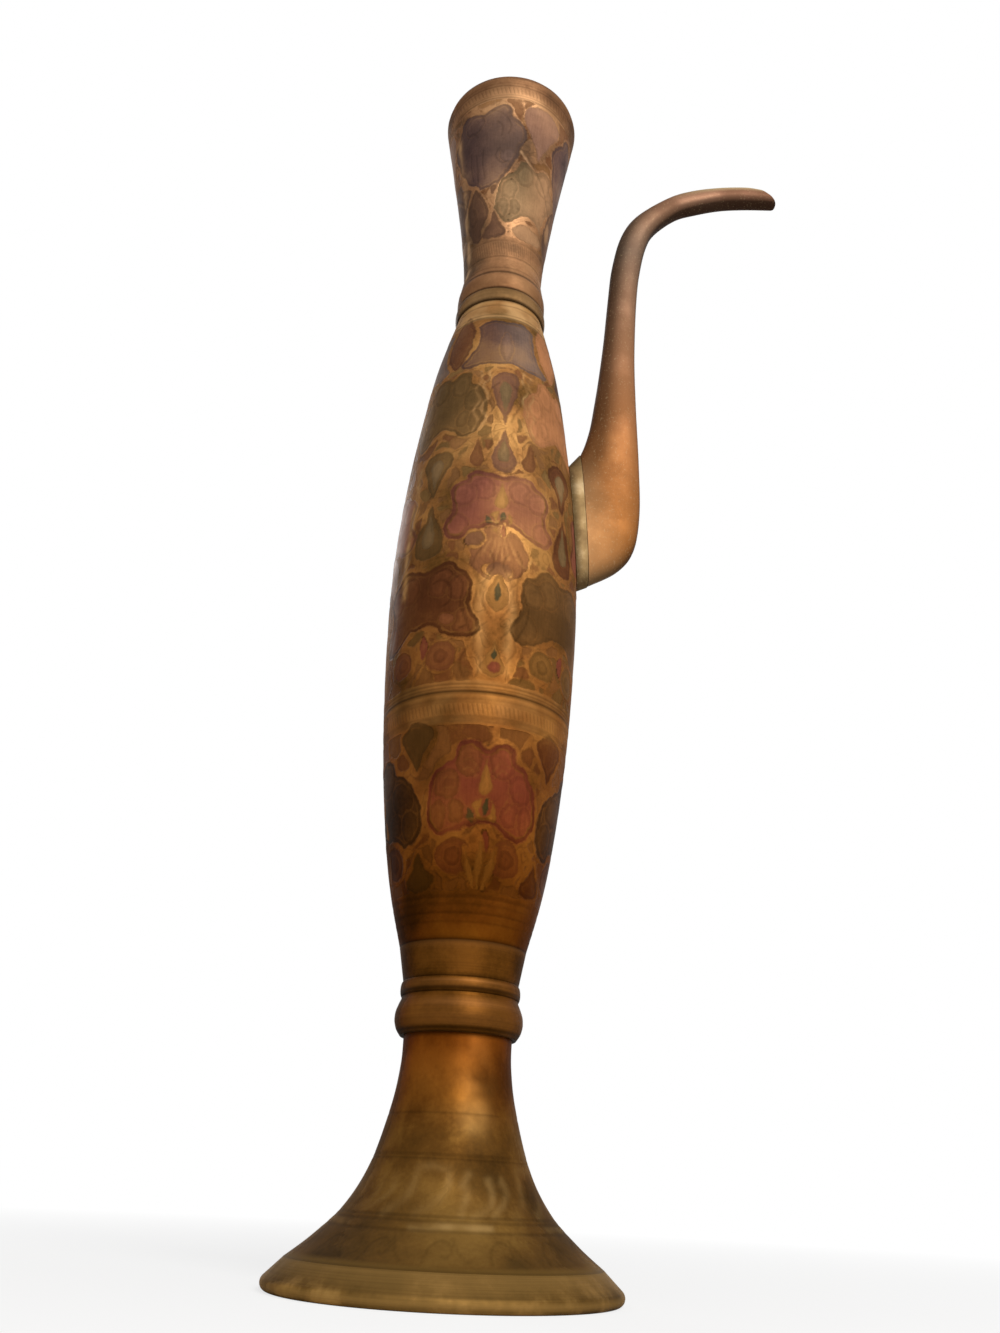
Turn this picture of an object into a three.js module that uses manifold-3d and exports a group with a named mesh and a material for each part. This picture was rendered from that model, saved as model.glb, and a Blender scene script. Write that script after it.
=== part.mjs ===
// A tall brass surahi, in millimetres with +Z up: a turned foot, a screwed knop, a long waisted
// body with a swan-neck spout, and a flared mouth. Every turned piece shares one upright axis.
import * as THREE from "three";
import { mergeVertices } from "three/addons/utils/BufferGeometryUtils.js";
import Module from "manifold-3d";

const wasm = await Module();
wasm.setup();

// Heights of the turned pieces, stacked from the table up
const BASE_RING_HEIGHT = 10.5;
const FOOT_HEIGHT = 75.8;
const KNOP_HEIGHT = 14.3;
const FILLET_HEIGHT = 5.6;
const SOCKET_HEIGHT = 13.1;
const LOWER_BODY_HEIGHT = 96.5;
const UPPER_BODY_HEIGHT = 230.2;
const NECK_RING_HEIGHT = 8.3;
const MOUTH_HEIGHT = 145.7;

// Outer radii of the turned pieces
const BASE_RADIUS = 63.9;
const BASE_RING_TOP_RADIUS = 57.3;
const FOOT_NECK_RADIUS = 21;
const KNOP_EDGE_RADIUS = 22.5;
const KNOP_RADIUS = 25;
const FILLET_EDGE_RADIUS = 22.8;
const FILLET_RADIUS = 23.6;
const SOCKET_BOTTOM_RADIUS = 22.7;
const SOCKET_TOP_RADIUS = 25.2;
const BODY_RADIUS = 43.2;
const BODY_TOP_RADIUS = 22.4;
const NECK_RING_EDGE_RADIUS = 22.6;
const NECK_RING_RADIUS = 23.8;
const FLANGE_RADIUS = 23.3;
const THROAT_RADIUS = 20.9;
const MOUTH_RADIUS = 37.7;

// Walls, rims and seams
const FOOT_WALL = 2.2;
const BODY_WALL = 1.8;
const MOUTH_WALL = 1.8;
const BASE_LIP_RADIUS = 2.6;
const BASE_FLAT_WIDTH = 2.8;
const SEAM_CHAMFER = 0.6;
const FLANGE_HEIGHT = 10.5;
const THROAT_RISE = 11.5;
const MOUTH_LIP_HEIGHT = 5;

// Clearance between pieces that sit in or against each other
const FIT_GAP = 0.3;

// Screwed joint that draws the foot, the knop and the body together
const STUD_RADIUS = 5;
const STUD_TAIL = 3.5;
const STUD_GRIP = 9.5;
const FOOT_WEB = 5;
const WASHER_RADIUS = 10;
const WASHER_THICKNESS = 1.6;
const NUT_ACROSS_FLATS = 16;
const NUT_THICKNESS = 7;
const KNOP_BORE_RADIUS = 13;
const SOCKET_FLOOR = 3.5;
const SPIGOT_HEIGHT = 7.5;
const SPIGOT_WALL = 2;

// Sleeve inside the body's seam, and the screwed neck joint
const SLEEVE_HEIGHT = 18;
const SLEEVE_WALL = 1.2;
const NIPPLE_BORE_RADIUS = 15.2;
const NIPPLE_WALL = 2;
const NIPPLE_GRIP = 12.5;
const NECK_SPIGOT_HEIGHT = 8;

// Spout: reach and rise from the lower corner of its root, and its root on the body
const SPOUT_ABOVE_SEAM = 77;
const SPOUT_STANDOFF = 2.6;
const SPOUT_REACH = 111.3;
const SPOUT_RISE = 271.4;
const SPOUT_ROOT_DEPTH = 21;
const SPOUT_WALL = 1.6;
const COLLAR_TOP_DROP = 7;
const COLLAR_BOTTOM_DROP = 2.5;
const COLLAR_SWELL = 0.4;

// How finely the round forms are stepped
const TURN_SEGMENTS = 32;
const BEAD_STEPS = 6;
const SPANS_BETWEEN = 2;
const SPOUT_HALF_STEPS = 6;
const SECTION_POWER = 2.5;

// Outline points nearer than this to a cut give way to it
const LEAST_SPACING = 0.3;

// Sine of a turn below which a point of the spout's section lies on the seam
const SEAM_SINE = 1e-9;

// Foot outline: share of the foot's height, share of the flare beyond the neck
const footShares = [
  [0, 1], [0.095, 0.739], [0.228, 0.453], [0.413, 0.231], [0.678, 0.067], [0.862, 0.006], [1, 0],
];

// Body outline between its two ends: share of the body's height, share of its largest radius
const bodyShares = [
  [0.079, 0.736], [0.186, 0.863], [0.3235, 0.954], [0.492, 1], [0.63, 0.958], [0.767, 0.852], [0.89, 0.716],
];

// Mouth outline above the throat: share of the cone's height, share of the flare beyond the throat
const mouthShares = [[0, 0], [0.161, 0.089], [0.458, 0.363], [0.797, 0.744], [1, 0.976]];

// Spout edges as shares of its reach and rise, upper edge then lower edge, and its depth share
const spoutShares = [
  [0, 0.268, 0.045, 0, 1],
  [0.017, 0.288, 0.167, 0.031, 1],
  [0.033, 0.313, 0.24, 0.074, 0.98],
  [0.048, 0.343, 0.267, 0.148, 0.93],
  [0.063, 0.388, 0.267, 0.255, 0.86],
  [0.084, 0.458, 0.257, 0.395, 0.77],
  [0.107, 0.553, 0.254, 0.517, 0.69],
  [0.128, 0.665, 0.266, 0.653, 0.64],
  [0.147, 0.749, 0.285, 0.738, 0.62],
  [0.191, 0.834, 0.321, 0.817, 0.61],
  [0.27, 0.893, 0.372, 0.865, 0.6],
  [0.433, 0.952, 0.482, 0.912, 0.58],
  [0.559, 0.978, 0.59, 0.933, 0.58],
  [0.705, 0.993, 0.719, 0.951, 0.57],
  [0.842, 1, 0.849, 0.959, 0.55],
  [0.899, 0.998, 1, 0.962, 0.5],
];

// Levels that follow from the stack
const footBottom = BASE_RING_HEIGHT;
const footTop = footBottom + FOOT_HEIGHT;
const knopTop = footTop + KNOP_HEIGHT;
const filletTop = knopTop + FILLET_HEIGHT;
const bodyBottom = filletTop + SOCKET_HEIGHT;
const bodySeam = bodyBottom + LOWER_BODY_HEIGHT;
const bodyTop = bodySeam + UPPER_BODY_HEIGHT;
const neckRingTop = bodyTop + NECK_RING_HEIGHT;
const rimTop = neckRingTop + MOUTH_HEIGHT;

// Surfaces of the pieces
const brass = (color, roughness) => new THREE.MeshStandardMaterial({ color, roughness, metalness: 1 });
const engravedBrass = brass("#8c6a3e", 0.5);
const plainBrass = brass("#8a5f2c", 0.38);
const spoutBrass = brass("#9c6c45", 0.42);
const fittingBrass = brass("#a8874a", 0.45);
const solder = brass("#a3906c", 0.6);

// Radius of an outline, given as [radius, height] pairs from the bottom up, at one height
function radiusAt(outline, height) {
  const above = outline.findIndex((point) => point[1] >= height);
  const upper = above < 0 ? outline.length - 1 : Math.max(above, 1);
  const [lowRadius, lowHeight] = outline[upper - 1];
  const [highRadius, highHeight] = outline[upper];
  const share = (height - lowHeight) / (highHeight - lowHeight);
  return lowRadius + (highRadius - lowRadius) * share;
}

// The stretch of an outline between two heights, with a point on each
function between(outline, bottom, top) {
  const isInside = ([, height]) => height > bottom + LEAST_SPACING && height < top - LEAST_SPACING;
  const middle = outline.filter(isInside);
  return [[radiusAt(outline, bottom), bottom], ...middle, [radiusAt(outline, top), top]];
}

// The inner side of a wall whose outer side is the outline
function insideOf(outline, wall) {
  return outline.map(([radius, height], index) => {
    const [lowRadius, lowHeight] = outline[Math.max(index - 1, 0)];
    const [highRadius, highHeight] = outline[Math.min(index + 1, outline.length - 1)];
    const run = highRadius - lowRadius;
    const rise = highHeight - lowHeight;
    const length = Math.hypot(run, rise);
    return [radius - (wall * rise) / length, height + (wall * run) / length];
  });
}

// A smooth outline through [radius, height] points
function smoothOutline(points) {
  const curve = new THREE.SplineCurve(points.map((point) => new THREE.Vector2(...point)));
  return curve.getPoints(SPANS_BETWEEN * (points.length - 1)).map((point) => [point.x, point.y]);
}

// The round crest of a turned bead, edge to edge
function beadOutline(bottom, top, edgeRadius, crestRadius) {
  const points = [];
  for (let step = 0; step <= BEAD_STEPS; step += 1) {
    const angle = (Math.PI * step) / BEAD_STEPS;
    const radius = edgeRadius + (crestRadius - edgeRadius) * Math.sin(angle);
    points.push([radius, bottom + ((top - bottom) * (1 - Math.cos(angle))) / 2]);
  }
  return points;
}

// A piece turned about the upright axis; the outline runs counterclockwise, outer side going up
function turned(name, outline, material) {
  const points = outline.map(([radius, height]) => new THREE.Vector2(radius, height));
  if (outline[0][0] > 0) points.push(points[0].clone());
  const geometry = new THREE.LatheGeometry(points, TURN_SEGMENTS);
  geometry.rotateX(Math.PI / 2);
  const mesh = new THREE.Mesh(geometry, material);
  mesh.name = name;
  return mesh;
}

// Closed manifold solid of a geometry, for cutting
function solidOf(geometry) {
  const bare = geometry.clone();
  bare.deleteAttribute("normal");
  bare.deleteAttribute("uv");
  const merged = mergeVertices(bare);
  const vertProperties = new Float32Array(merged.attributes.position.array);
  const triVerts = new Uint32Array(merged.index.array);
  return new wasm.Manifold(new wasm.Mesh({ numProp: 3, vertProperties, triVerts }));
}

// Geometry of a manifold solid
function geometryOf(solid) {
  const { vertProperties, triVerts } = solid.getMesh();
  const geometry = new THREE.BufferGeometry();
  geometry.setAttribute("position", new THREE.BufferAttribute(vertProperties, 3));
  geometry.setIndex(new THREE.BufferAttribute(triVerts, 1));
  geometry.computeVertexNormals();
  return geometry;
}

// Skin of a hollow sweep: both walls, both ends and, on an open half, both seam faces
function hollowSweep(stations, isWhole) {
  const count = stations[0].outer.length;
  const spans = isWhole ? count : count - 1;
  const lastStation = stations.length - 1;
  const positions = stations.flatMap(({ outer, inner }) => [...outer, ...inner]);
  const outerAt = (station, point) => station * 2 * count + (point % count);
  const innerAt = (station, point) => outerAt(station, point) + count;
  const index = [];
  const quad = (a, b, c, d) => index.push(a, b, c, a, c, d);
  for (let station = 0; station < lastStation; station += 1) {
    const next = station + 1;
    for (let point = 0; point < spans; point += 1) {
      const beside = point + 1;
      quad(outerAt(station, point), outerAt(station, beside), outerAt(next, beside), outerAt(next, point));
      quad(innerAt(station, beside), innerAt(station, point), innerAt(next, point), innerAt(next, beside));
    }
    if (!isWhole) {
      quad(innerAt(station, 0), outerAt(station, 0), outerAt(next, 0), innerAt(next, 0));
      quad(outerAt(station, spans), innerAt(station, spans), innerAt(next, spans), outerAt(next, spans));
    }
  }
  for (let point = 0; point < spans; point += 1) {
    const beside = point + 1;
    quad(outerAt(0, beside), outerAt(0, point), innerAt(0, point), innerAt(0, beside));
    quad(
      outerAt(lastStation, point), outerAt(lastStation, beside),
      innerAt(lastStation, beside), innerAt(lastStation, point),
    );
  }
  const geometry = new THREE.BufferGeometry().setFromPoints(positions);
  geometry.setIndex(index);
  geometry.computeVertexNormals();
  return geometry;
}

// Outline of the foot's bell, and the underside of the web near its top
const footFlare = BASE_RING_TOP_RADIUS - SEAM_CHAMFER - FOOT_NECK_RADIUS;
const footOutline = smoothOutline(
  footShares.map(([heightShare, flareShare]) => [
    FOOT_NECK_RADIUS + flareShare * footFlare,
    footBottom + heightShare * FOOT_HEIGHT,
  ]),
);
const footInside = insideOf(footOutline, FOOT_WALL);
const webBottom = footTop - FOOT_WEB;

// Base ring: the plain flared edge that the surahi stands on, round from its flat to its outer side
function baseRing() {
  const lipCentre = BASE_RADIUS - BASE_LIP_RADIUS;
  const outline = [[lipCentre - BASE_FLAT_WIDTH, 0]];
  for (let step = 0; step <= BEAD_STEPS; step += 1) {
    const angle = -Math.PI / 2 + (Math.PI * 3 * step) / (4 * BEAD_STEPS);
    const radius = lipCentre + BASE_LIP_RADIUS * Math.cos(angle);
    outline.push([radius, BASE_LIP_RADIUS + BASE_LIP_RADIUS * Math.sin(angle)]);
  }
  outline.push([BASE_RING_TOP_RADIUS, footBottom - SEAM_CHAMFER]);
  outline.push([BASE_RING_TOP_RADIUS - SEAM_CHAMFER, footBottom]);
  outline.push([radiusAt(footInside, footBottom), footBottom]);
  return turned("base_ring", outline, plainBrass);
}

// Foot: a trumpet-shaped bell, closed near its top by the web that the stud passes through
function foot() {
  const inside = between(footInside, footBottom, webBottom).reverse();
  const studHole = STUD_RADIUS + FIT_GAP;
  const web = [[studHole, footTop], [studHole, webBottom]];
  return turned("foot_bell", [...footOutline, ...web, ...inside], engravedBrass);
}

// Washer, nut and stud under the foot's web
const washerBottom = webBottom - WASHER_THICKNESS;
const nutBottom = washerBottom - NUT_THICKNESS;
const studTop = filletTop + STUD_GRIP;

function footWasher() {
  const hole = STUD_RADIUS + FIT_GAP;
  const outline = [
    [hole, washerBottom], [WASHER_RADIUS, washerBottom], [WASHER_RADIUS, webBottom], [hole, webBottom],
  ];
  return turned("foot_washer", outline, fittingBrass);
}

function footNut() {
  const shape = new THREE.Shape();
  const corner = NUT_ACROSS_FLATS / 2 / Math.cos(Math.PI / 6);
  for (let side = 0; side < 6; side += 1) {
    const angle = (Math.PI * side) / 3;
    const place = [corner * Math.cos(angle), corner * Math.sin(angle)];
    if (side === 0) shape.moveTo(...place);
    else shape.lineTo(...place);
  }
  shape.closePath();
  const hole = new THREE.Path();
  hole.absarc(0, 0, STUD_RADIUS + FIT_GAP, 0, 2 * Math.PI, true);
  shape.holes.push(hole);
  const geometry = new THREE.ExtrudeGeometry(shape, { depth: NUT_THICKNESS, bevelEnabled: false });
  geometry.translate(0, 0, nutBottom);
  const mesh = new THREE.Mesh(geometry, fittingBrass);
  mesh.name = "foot_nut";
  return mesh;
}

function jointStud() {
  const bottom = nutBottom - STUD_TAIL;
  const chamfered = STUD_RADIUS - SEAM_CHAMFER;
  const outline = [
    [0, bottom], [chamfered, bottom], [STUD_RADIUS, bottom + SEAM_CHAMFER],
    [STUD_RADIUS, studTop - SEAM_CHAMFER], [chamfered, studTop], [0, studTop],
  ];
  return turned("joint_stud", outline, fittingBrass);
}

// Knop and fillet ring clamped between the foot and the body's socket
function knop() {
  const crest = beadOutline(footTop, knopTop, KNOP_EDGE_RADIUS, KNOP_RADIUS);
  return turned("knop", [[KNOP_BORE_RADIUS, footTop], ...crest, [KNOP_BORE_RADIUS, knopTop]], plainBrass);
}

function filletRing() {
  const hole = STUD_RADIUS + FIT_GAP;
  const crest = beadOutline(knopTop, filletTop, FILLET_EDGE_RADIUS, FILLET_RADIUS);
  return turned("fillet_ring", [[hole, knopTop], ...crest, [hole, filletTop]], plainBrass);
}

// Outline of the body, shared by both shells, the socket's spigot, the sleeve and the spout's seat
const bodyHeight = bodyTop - bodyBottom;
const bodyOutline = smoothOutline([
  [SOCKET_TOP_RADIUS, bodyBottom],
  ...bodyShares.map(([heightShare, radiusShare]) => [
    radiusShare * BODY_RADIUS,
    bodyBottom + heightShare * bodyHeight,
  ]),
  [BODY_TOP_RADIUS, bodyTop],
]);
const bodyInside = insideOf(bodyOutline, BODY_WALL);

// Body socket: a turned cup that closes the body's lower end and takes the stud
function bodySocket() {
  const studHole = STUD_RADIUS + FIT_GAP;
  const holeTop = studTop + FIT_GAP;
  const floorTop = holeTop + SOCKET_FLOOR;
  const spigotTop = bodyBottom + SPIGOT_HEIGHT;
  const spigotBottomRadius = radiusAt(bodyInside, bodyBottom) - FIT_GAP;
  const spigotTopRadius = radiusAt(bodyInside, spigotTop) - FIT_GAP;
  const outline = [
    [0, holeTop], [studHole, holeTop], [studHole, filletTop],
    [SOCKET_BOTTOM_RADIUS, filletTop], [SOCKET_TOP_RADIUS, bodyBottom],
    [spigotBottomRadius, bodyBottom], [spigotTopRadius, spigotTop],
    [spigotTopRadius - SPIGOT_WALL, spigotTop], [spigotBottomRadius - SPIGOT_WALL, floorTop], [0, floorTop],
  ];
  return turned("body_socket", outline, plainBrass);
}

// Lower shell of the body, from the socket up to the seam under the middle band
function lowerBody() {
  const outer = between(bodyOutline, bodyBottom, bodySeam);
  const inner = between(bodyInside, bodyBottom, bodySeam).reverse();
  return turned("lower_body", [...outer, ...inner], engravedBrass);
}

// Sleeve that laps the body's seam from inside
function bodySleeve() {
  const bottom = bodySeam - SLEEVE_HEIGHT / 2;
  const top = bodySeam + SLEEVE_HEIGHT / 2;
  const outer = between(insideOf(bodyOutline, BODY_WALL + FIT_GAP), bottom, top);
  const inner = between(insideOf(bodyOutline, BODY_WALL + FIT_GAP + SLEEVE_WALL), bottom, top).reverse();
  return turned("body_sleeve", [...outer, ...inner], fittingBrass);
}

// Spout frame: its two edges in the upright plane through the axis
const spoutBottom = bodySeam + SPOUT_ABOVE_SEAM;
const spoutMiddle = spoutBottom + (spoutShares[0][1] * SPOUT_RISE) / 2;
const spoutStart = radiusAt(bodyOutline, spoutMiddle) + SPOUT_STANDOFF;
const spoutPlace = (reachShare, riseShare) =>
  new THREE.Vector2(spoutStart + reachShare * SPOUT_REACH, spoutBottom + riseShare * SPOUT_RISE);
const upperEdge = new THREE.SplineCurve(spoutShares.map((row) => spoutPlace(row[0], row[1])));
const lowerEdge = new THREE.SplineCurve(spoutShares.map((row) => spoutPlace(row[2], row[3])));
const depthCurve = new THREE.SplineCurve(
  spoutShares.map((row, index) => new THREE.Vector2(index, (row[4] * SPOUT_ROOT_DEPTH) / 2)),
);

// One point of a flattened round section; turn 0 is the upper edge and half a turn the lower edge
function sectionPoint(high, low, halfDepth, turn, inset) {
  const cosine = Math.cos(turn);
  const sine = Math.sin(turn);
  const along = Math.sign(cosine) * Math.abs(cosine) ** (2 / SECTION_POWER);
  const across = Math.sign(sine) * Math.abs(sine) ** (2 / SECTION_POWER);
  const middle = high.clone().add(low).divideScalar(2);
  const reach = high.clone().sub(low).divideScalar(2);
  const place = middle.add(reach.setLength(reach.length() - inset).multiplyScalar(along));
  const isSeam = Math.abs(sine) < SEAM_SINE;
  return new THREE.Vector3(place.x, isSeam ? 0 : across * (halfDepth - inset), place.y);
}

// Half of the spout casting, split along the upright plane; side +1 is the left half
function spoutHalf(name, side) {
  const stations = [];
  const spans = SPANS_BETWEEN * (spoutShares.length - 1);
  for (let span = 0; span <= spans; span += 1) {
    const high = upperEdge.getPoint(span / spans);
    const low = lowerEdge.getPoint(span / spans);
    const halfDepth = depthCurve.getPoint(span / spans).y;
    const outer = [];
    const inner = [];
    for (let step = 0; step <= SPOUT_HALF_STEPS; step += 1) {
      const share = side > 0 ? SPOUT_HALF_STEPS - step : step;
      const turn = (side * Math.PI * share) / SPOUT_HALF_STEPS;
      outer.push(sectionPoint(high, low, halfDepth, turn, 0));
      inner.push(sectionPoint(high, low, halfDepth, turn, SPOUT_WALL));
    }
    stations.push({ outer, inner });
  }
  const mesh = new THREE.Mesh(hollowSweep(stations, false), spoutBrass);
  mesh.name = name;
  return mesh;
}

// Where the spout's collar meets the body: an oval laid on the body's surface
const seatTop = upperEdge.getPoint(0).y - COLLAR_TOP_DROP;
const seatBottom = lowerEdge.getPoint(0).y - COLLAR_BOTTOM_DROP;

function seatPoint(turn, inset) {
  const high = new THREE.Vector2(0, seatTop);
  const low = new THREE.Vector2(0, seatBottom);
  const point = sectionPoint(high, low, SPOUT_ROOT_DEPTH / 2, turn, inset);
  const radius = radiusAt(bodyOutline, point.z) + FIT_GAP;
  return new THREE.Vector3(Math.sqrt(radius ** 2 - point.y ** 2), point.y, point.z);
}

// Soldered collar between the body's wall and the root of the spout
function spoutCollar() {
  const high = upperEdge.getPoint(0);
  const low = lowerEdge.getPoint(0);
  const along = high.clone().sub(low).normalize();
  const backOff = new THREE.Vector2(-along.y, along.x).multiplyScalar(FIT_GAP);
  high.add(backOff);
  low.add(backOff);
  const steps = 2 * SPOUT_HALF_STEPS;
  const seat = { outer: [], inner: [] };
  const root = { outer: [], inner: [] };
  for (let step = 0; step < steps; step += 1) {
    const turn = (2 * Math.PI * step) / steps;
    seat.outer.push(seatPoint(turn, -COLLAR_SWELL));
    seat.inner.push(seatPoint(turn, SPOUT_WALL));
    root.outer.push(sectionPoint(high, low, SPOUT_ROOT_DEPTH / 2, turn, -COLLAR_SWELL));
    root.inner.push(sectionPoint(high, low, SPOUT_ROOT_DEPTH / 2, turn, SPOUT_WALL));
  }
  const mesh = new THREE.Mesh(hollowSweep([root, seat], true), solder);
  mesh.name = "spout_collar";
  return mesh;
}

// Upper shell of the body, with the pouring hole behind the spout's root
function upperBody() {
  const outer = between(bodyOutline, bodySeam, bodyTop);
  const inner = between(bodyInside, bodySeam, bodyTop).reverse();
  const shell = turned("upper_body", [...outer, ...inner], engravedBrass);
  const hole = new THREE.Shape();
  const holeHalfHeight = (seatTop - seatBottom) / 2 - SPOUT_WALL;
  const holeHalfDepth = SPOUT_ROOT_DEPTH / 2 - SPOUT_WALL;
  hole.absellipse(0, 0, holeHalfHeight, holeHalfDepth, 0, 2 * Math.PI);
  const options = { depth: BODY_RADIUS, bevelEnabled: false, curveSegments: BEAD_STEPS };
  const cutter = new THREE.ExtrudeGeometry(hole, options);
  cutter.rotateY(Math.PI / 2);
  cutter.translate(BODY_RADIUS / 2, 0, (seatTop + seatBottom) / 2);
  shell.geometry = geometryOf(solidOf(shell.geometry).subtract(solidOf(cutter)));
  return shell;
}

// Neck ring: a bead with a spigot that drops into the body's top
const nippleRadius = NIPPLE_BORE_RADIUS + NIPPLE_WALL;

function neckRing() {
  const bore = nippleRadius + FIT_GAP;
  const spigotRadius = radiusAt(bodyInside, bodyTop) - FIT_GAP;
  const spigotBottom = bodyTop - NECK_SPIGOT_HEIGHT;
  const crest = beadOutline(bodyTop, neckRingTop, NECK_RING_EDGE_RADIUS, NECK_RING_RADIUS);
  const outline = [[bore, spigotBottom], [spigotRadius, spigotBottom], [spigotRadius, bodyTop], ...crest];
  return turned("neck_ring", [...outline, [bore, neckRingTop]], plainBrass);
}

// Threaded nipple that screws the mouth to the neck ring
function neckNipple() {
  const bottom = bodyTop - NECK_SPIGOT_HEIGHT;
  const top = neckRingTop + NIPPLE_GRIP;
  const outline = [
    [NIPPLE_BORE_RADIUS, bottom], [nippleRadius, bottom], [nippleRadius, top], [NIPPLE_BORE_RADIUS, top],
  ];
  return turned("neck_nipple", outline, fittingBrass);
}

// Mouth: a flanged throat that flares into the funnel and ends in a plain lip
function mouthFunnel() {
  const flangeTop = neckRingTop + FLANGE_HEIGHT;
  const throat = flangeTop + THROAT_RISE;
  const lipBottom = rimTop - MOUTH_LIP_HEIGHT;
  const flange = beadOutline(neckRingTop, flangeTop, FLANGE_RADIUS - SEAM_CHAMFER, FLANGE_RADIUS);
  const cone = smoothOutline(
    mouthShares.map(([heightShare, flareShare]) => [
      THROAT_RADIUS + flareShare * (MOUTH_RADIUS - THROAT_RADIUS),
      throat + heightShare * (lipBottom - throat),
    ]),
  );
  const lip = [[MOUTH_RADIUS, (lipBottom + rimTop) / 2], [MOUTH_RADIUS - SEAM_CHAMFER, rimTop]];
  const outer = [...flange.slice(0, -1), ...cone, ...lip];
  const bore = nippleRadius + FIT_GAP;
  const boreTop = neckRingTop + NIPPLE_GRIP + FIT_GAP;
  const inner = between(insideOf([...cone, ...lip], MOUTH_WALL), throat, rimTop).reverse();
  return turned("mouth_funnel", [...outer, ...inner, [bore, boreTop], [bore, neckRingTop]], engravedBrass);
}

const surahi = new THREE.Group();
surahi.add(
  baseRing(), foot(), footWasher(), footNut(), jointStud(), knop(), filletRing(), bodySocket(),
  lowerBody(), bodySleeve(), upperBody(), neckRing(), neckNipple(), mouthFunnel(),
  spoutCollar(), spoutHalf("spout_left_half", 1), spoutHalf("spout_right_half", -1),
);

// The origin lies under the middle of the whole outline, spout included
const extent = new THREE.Box3().setFromObject(surahi);
surahi.position.x = -(extent.min.x + extent.max.x) / 2;

export default surahi;
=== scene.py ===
"""A tall engraved brass surahi: foot, knop, two body shells, swan-neck spout and flared mouth."""
import math

import bmesh
import bpy
import numpy as np
from mathutils import Matrix, Vector


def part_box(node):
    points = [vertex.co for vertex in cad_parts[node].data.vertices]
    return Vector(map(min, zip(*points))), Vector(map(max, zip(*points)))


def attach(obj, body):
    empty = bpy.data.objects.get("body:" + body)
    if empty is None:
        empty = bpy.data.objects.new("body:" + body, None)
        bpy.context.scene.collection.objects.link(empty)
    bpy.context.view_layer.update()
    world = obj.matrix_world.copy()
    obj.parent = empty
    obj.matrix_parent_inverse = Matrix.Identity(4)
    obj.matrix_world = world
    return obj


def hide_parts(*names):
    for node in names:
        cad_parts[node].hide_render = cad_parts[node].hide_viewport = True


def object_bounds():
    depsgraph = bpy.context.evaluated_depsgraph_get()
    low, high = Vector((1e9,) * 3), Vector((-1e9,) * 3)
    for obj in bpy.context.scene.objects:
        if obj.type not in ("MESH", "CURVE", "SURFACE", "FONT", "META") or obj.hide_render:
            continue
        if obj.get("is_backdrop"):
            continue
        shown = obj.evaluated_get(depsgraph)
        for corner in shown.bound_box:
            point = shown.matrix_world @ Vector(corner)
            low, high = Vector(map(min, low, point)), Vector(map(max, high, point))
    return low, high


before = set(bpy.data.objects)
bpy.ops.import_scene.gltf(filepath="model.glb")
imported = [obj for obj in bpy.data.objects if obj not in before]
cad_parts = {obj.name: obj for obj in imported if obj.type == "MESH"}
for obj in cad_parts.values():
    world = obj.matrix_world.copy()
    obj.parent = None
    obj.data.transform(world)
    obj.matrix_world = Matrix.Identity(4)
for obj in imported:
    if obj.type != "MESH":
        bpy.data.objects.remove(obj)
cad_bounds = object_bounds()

# Base ring
# The plain edge that the ewer stands on: a cast ring with a rounded lip, turned smooth and fitted
# under the foot. Old unpolished brass, so it is satin, mottled olive and tan, and pale where rubbed,
# with a painted highlight on its front and painted shade on its side towards the spout.
# Lengths of the ewer are in millimetres, and its levels are counted from the table
MM = 0.001
AXIS_X = (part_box("base_ring")[0].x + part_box("base_ring")[1].x) / 2
PLAIN_SEGMENTS = 256
BASE_LIP_RADIUS = 2.6
BASE_FLAT_WIDTH = 2.8
BASE_SHOULDER_RADIUS = 57.3
SEAM_CHAMFER = 0.6
FOOT_INNER_RADIUS = 53.0
TURNED_SHARP = 38
DIRT_REACH = 0.9
WIDE_DIRT_REACH = 1.3
GROOVE_DIRT = 0.5
WEAR_REACH = 3.0
WEAR_HEIGHT = 0.7
# Where the painted shade on the side towards the spout ends and how fast it falls, in radians
SHADED_SIDE_END = 2.4
SHADED_SIDE_FALL = 0.4
# A painted highlight on the front of the base ring with its reach in radians, and painted shade on its side
# towards the spout
BASE_PAINTED_HIGHLIGHT = 0.55
BASE_HIGHLIGHT_ANGLE = 0.6
BASE_SIDE_SHADE = 0.4
EDGE_TINT = "#3a2410"
BARE_LEAST = 0.15
BARE_MOST = 0.4
SKIN_GLOSS = 0.02
# A patina spreads in clouds of a few centimetres, and closer where a thing is set down and lifted
CLOUD_MM = 30
BASE_CLOUD_MM = 16
# The real grain is a few hundredths of a millimetre, and is drawn coarser so that it shows
GRAIN_MM = 1.5
# Waves a metre across and up: tool rings 0.4 mm apart, coarser than the real feed of about 0.1 mm
TOOL_RINGS = (20, 20, 2600)


def levels(node):
    """Lowest and highest level of a CAD piece, in millimetres above the table."""
    low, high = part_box(node)
    return low.z / MM, high.z / MM


def widest(node):
    """Largest radius of a turned CAD piece, in millimetres."""
    return (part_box(node)[1].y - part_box(node)[0].y) / 2 / MM


def linear(hex_colour):
    """An sRGB hex colour as linear red, green, blue and alpha."""
    parts = [int(hex_colour[place:place + 2], 16) / 255 for place in (1, 3, 5)]
    return [p / 12.92 if p <= 0.04045 else ((p + 0.055) / 1.055) ** 2.4 for p in parts] + [1.0]


def straight(points, step):
    """Points along straight runs between (radius, level) corners, no further apart than step."""
    line = [points[0]]
    for start, end in zip(points, points[1:]):
        count = max(1, math.ceil(math.dist(start, end) / step))
        for part in range(1, count + 1):
            line.append([a + (b - a) * part / count for a, b in zip(start, end)])
    return line


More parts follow.
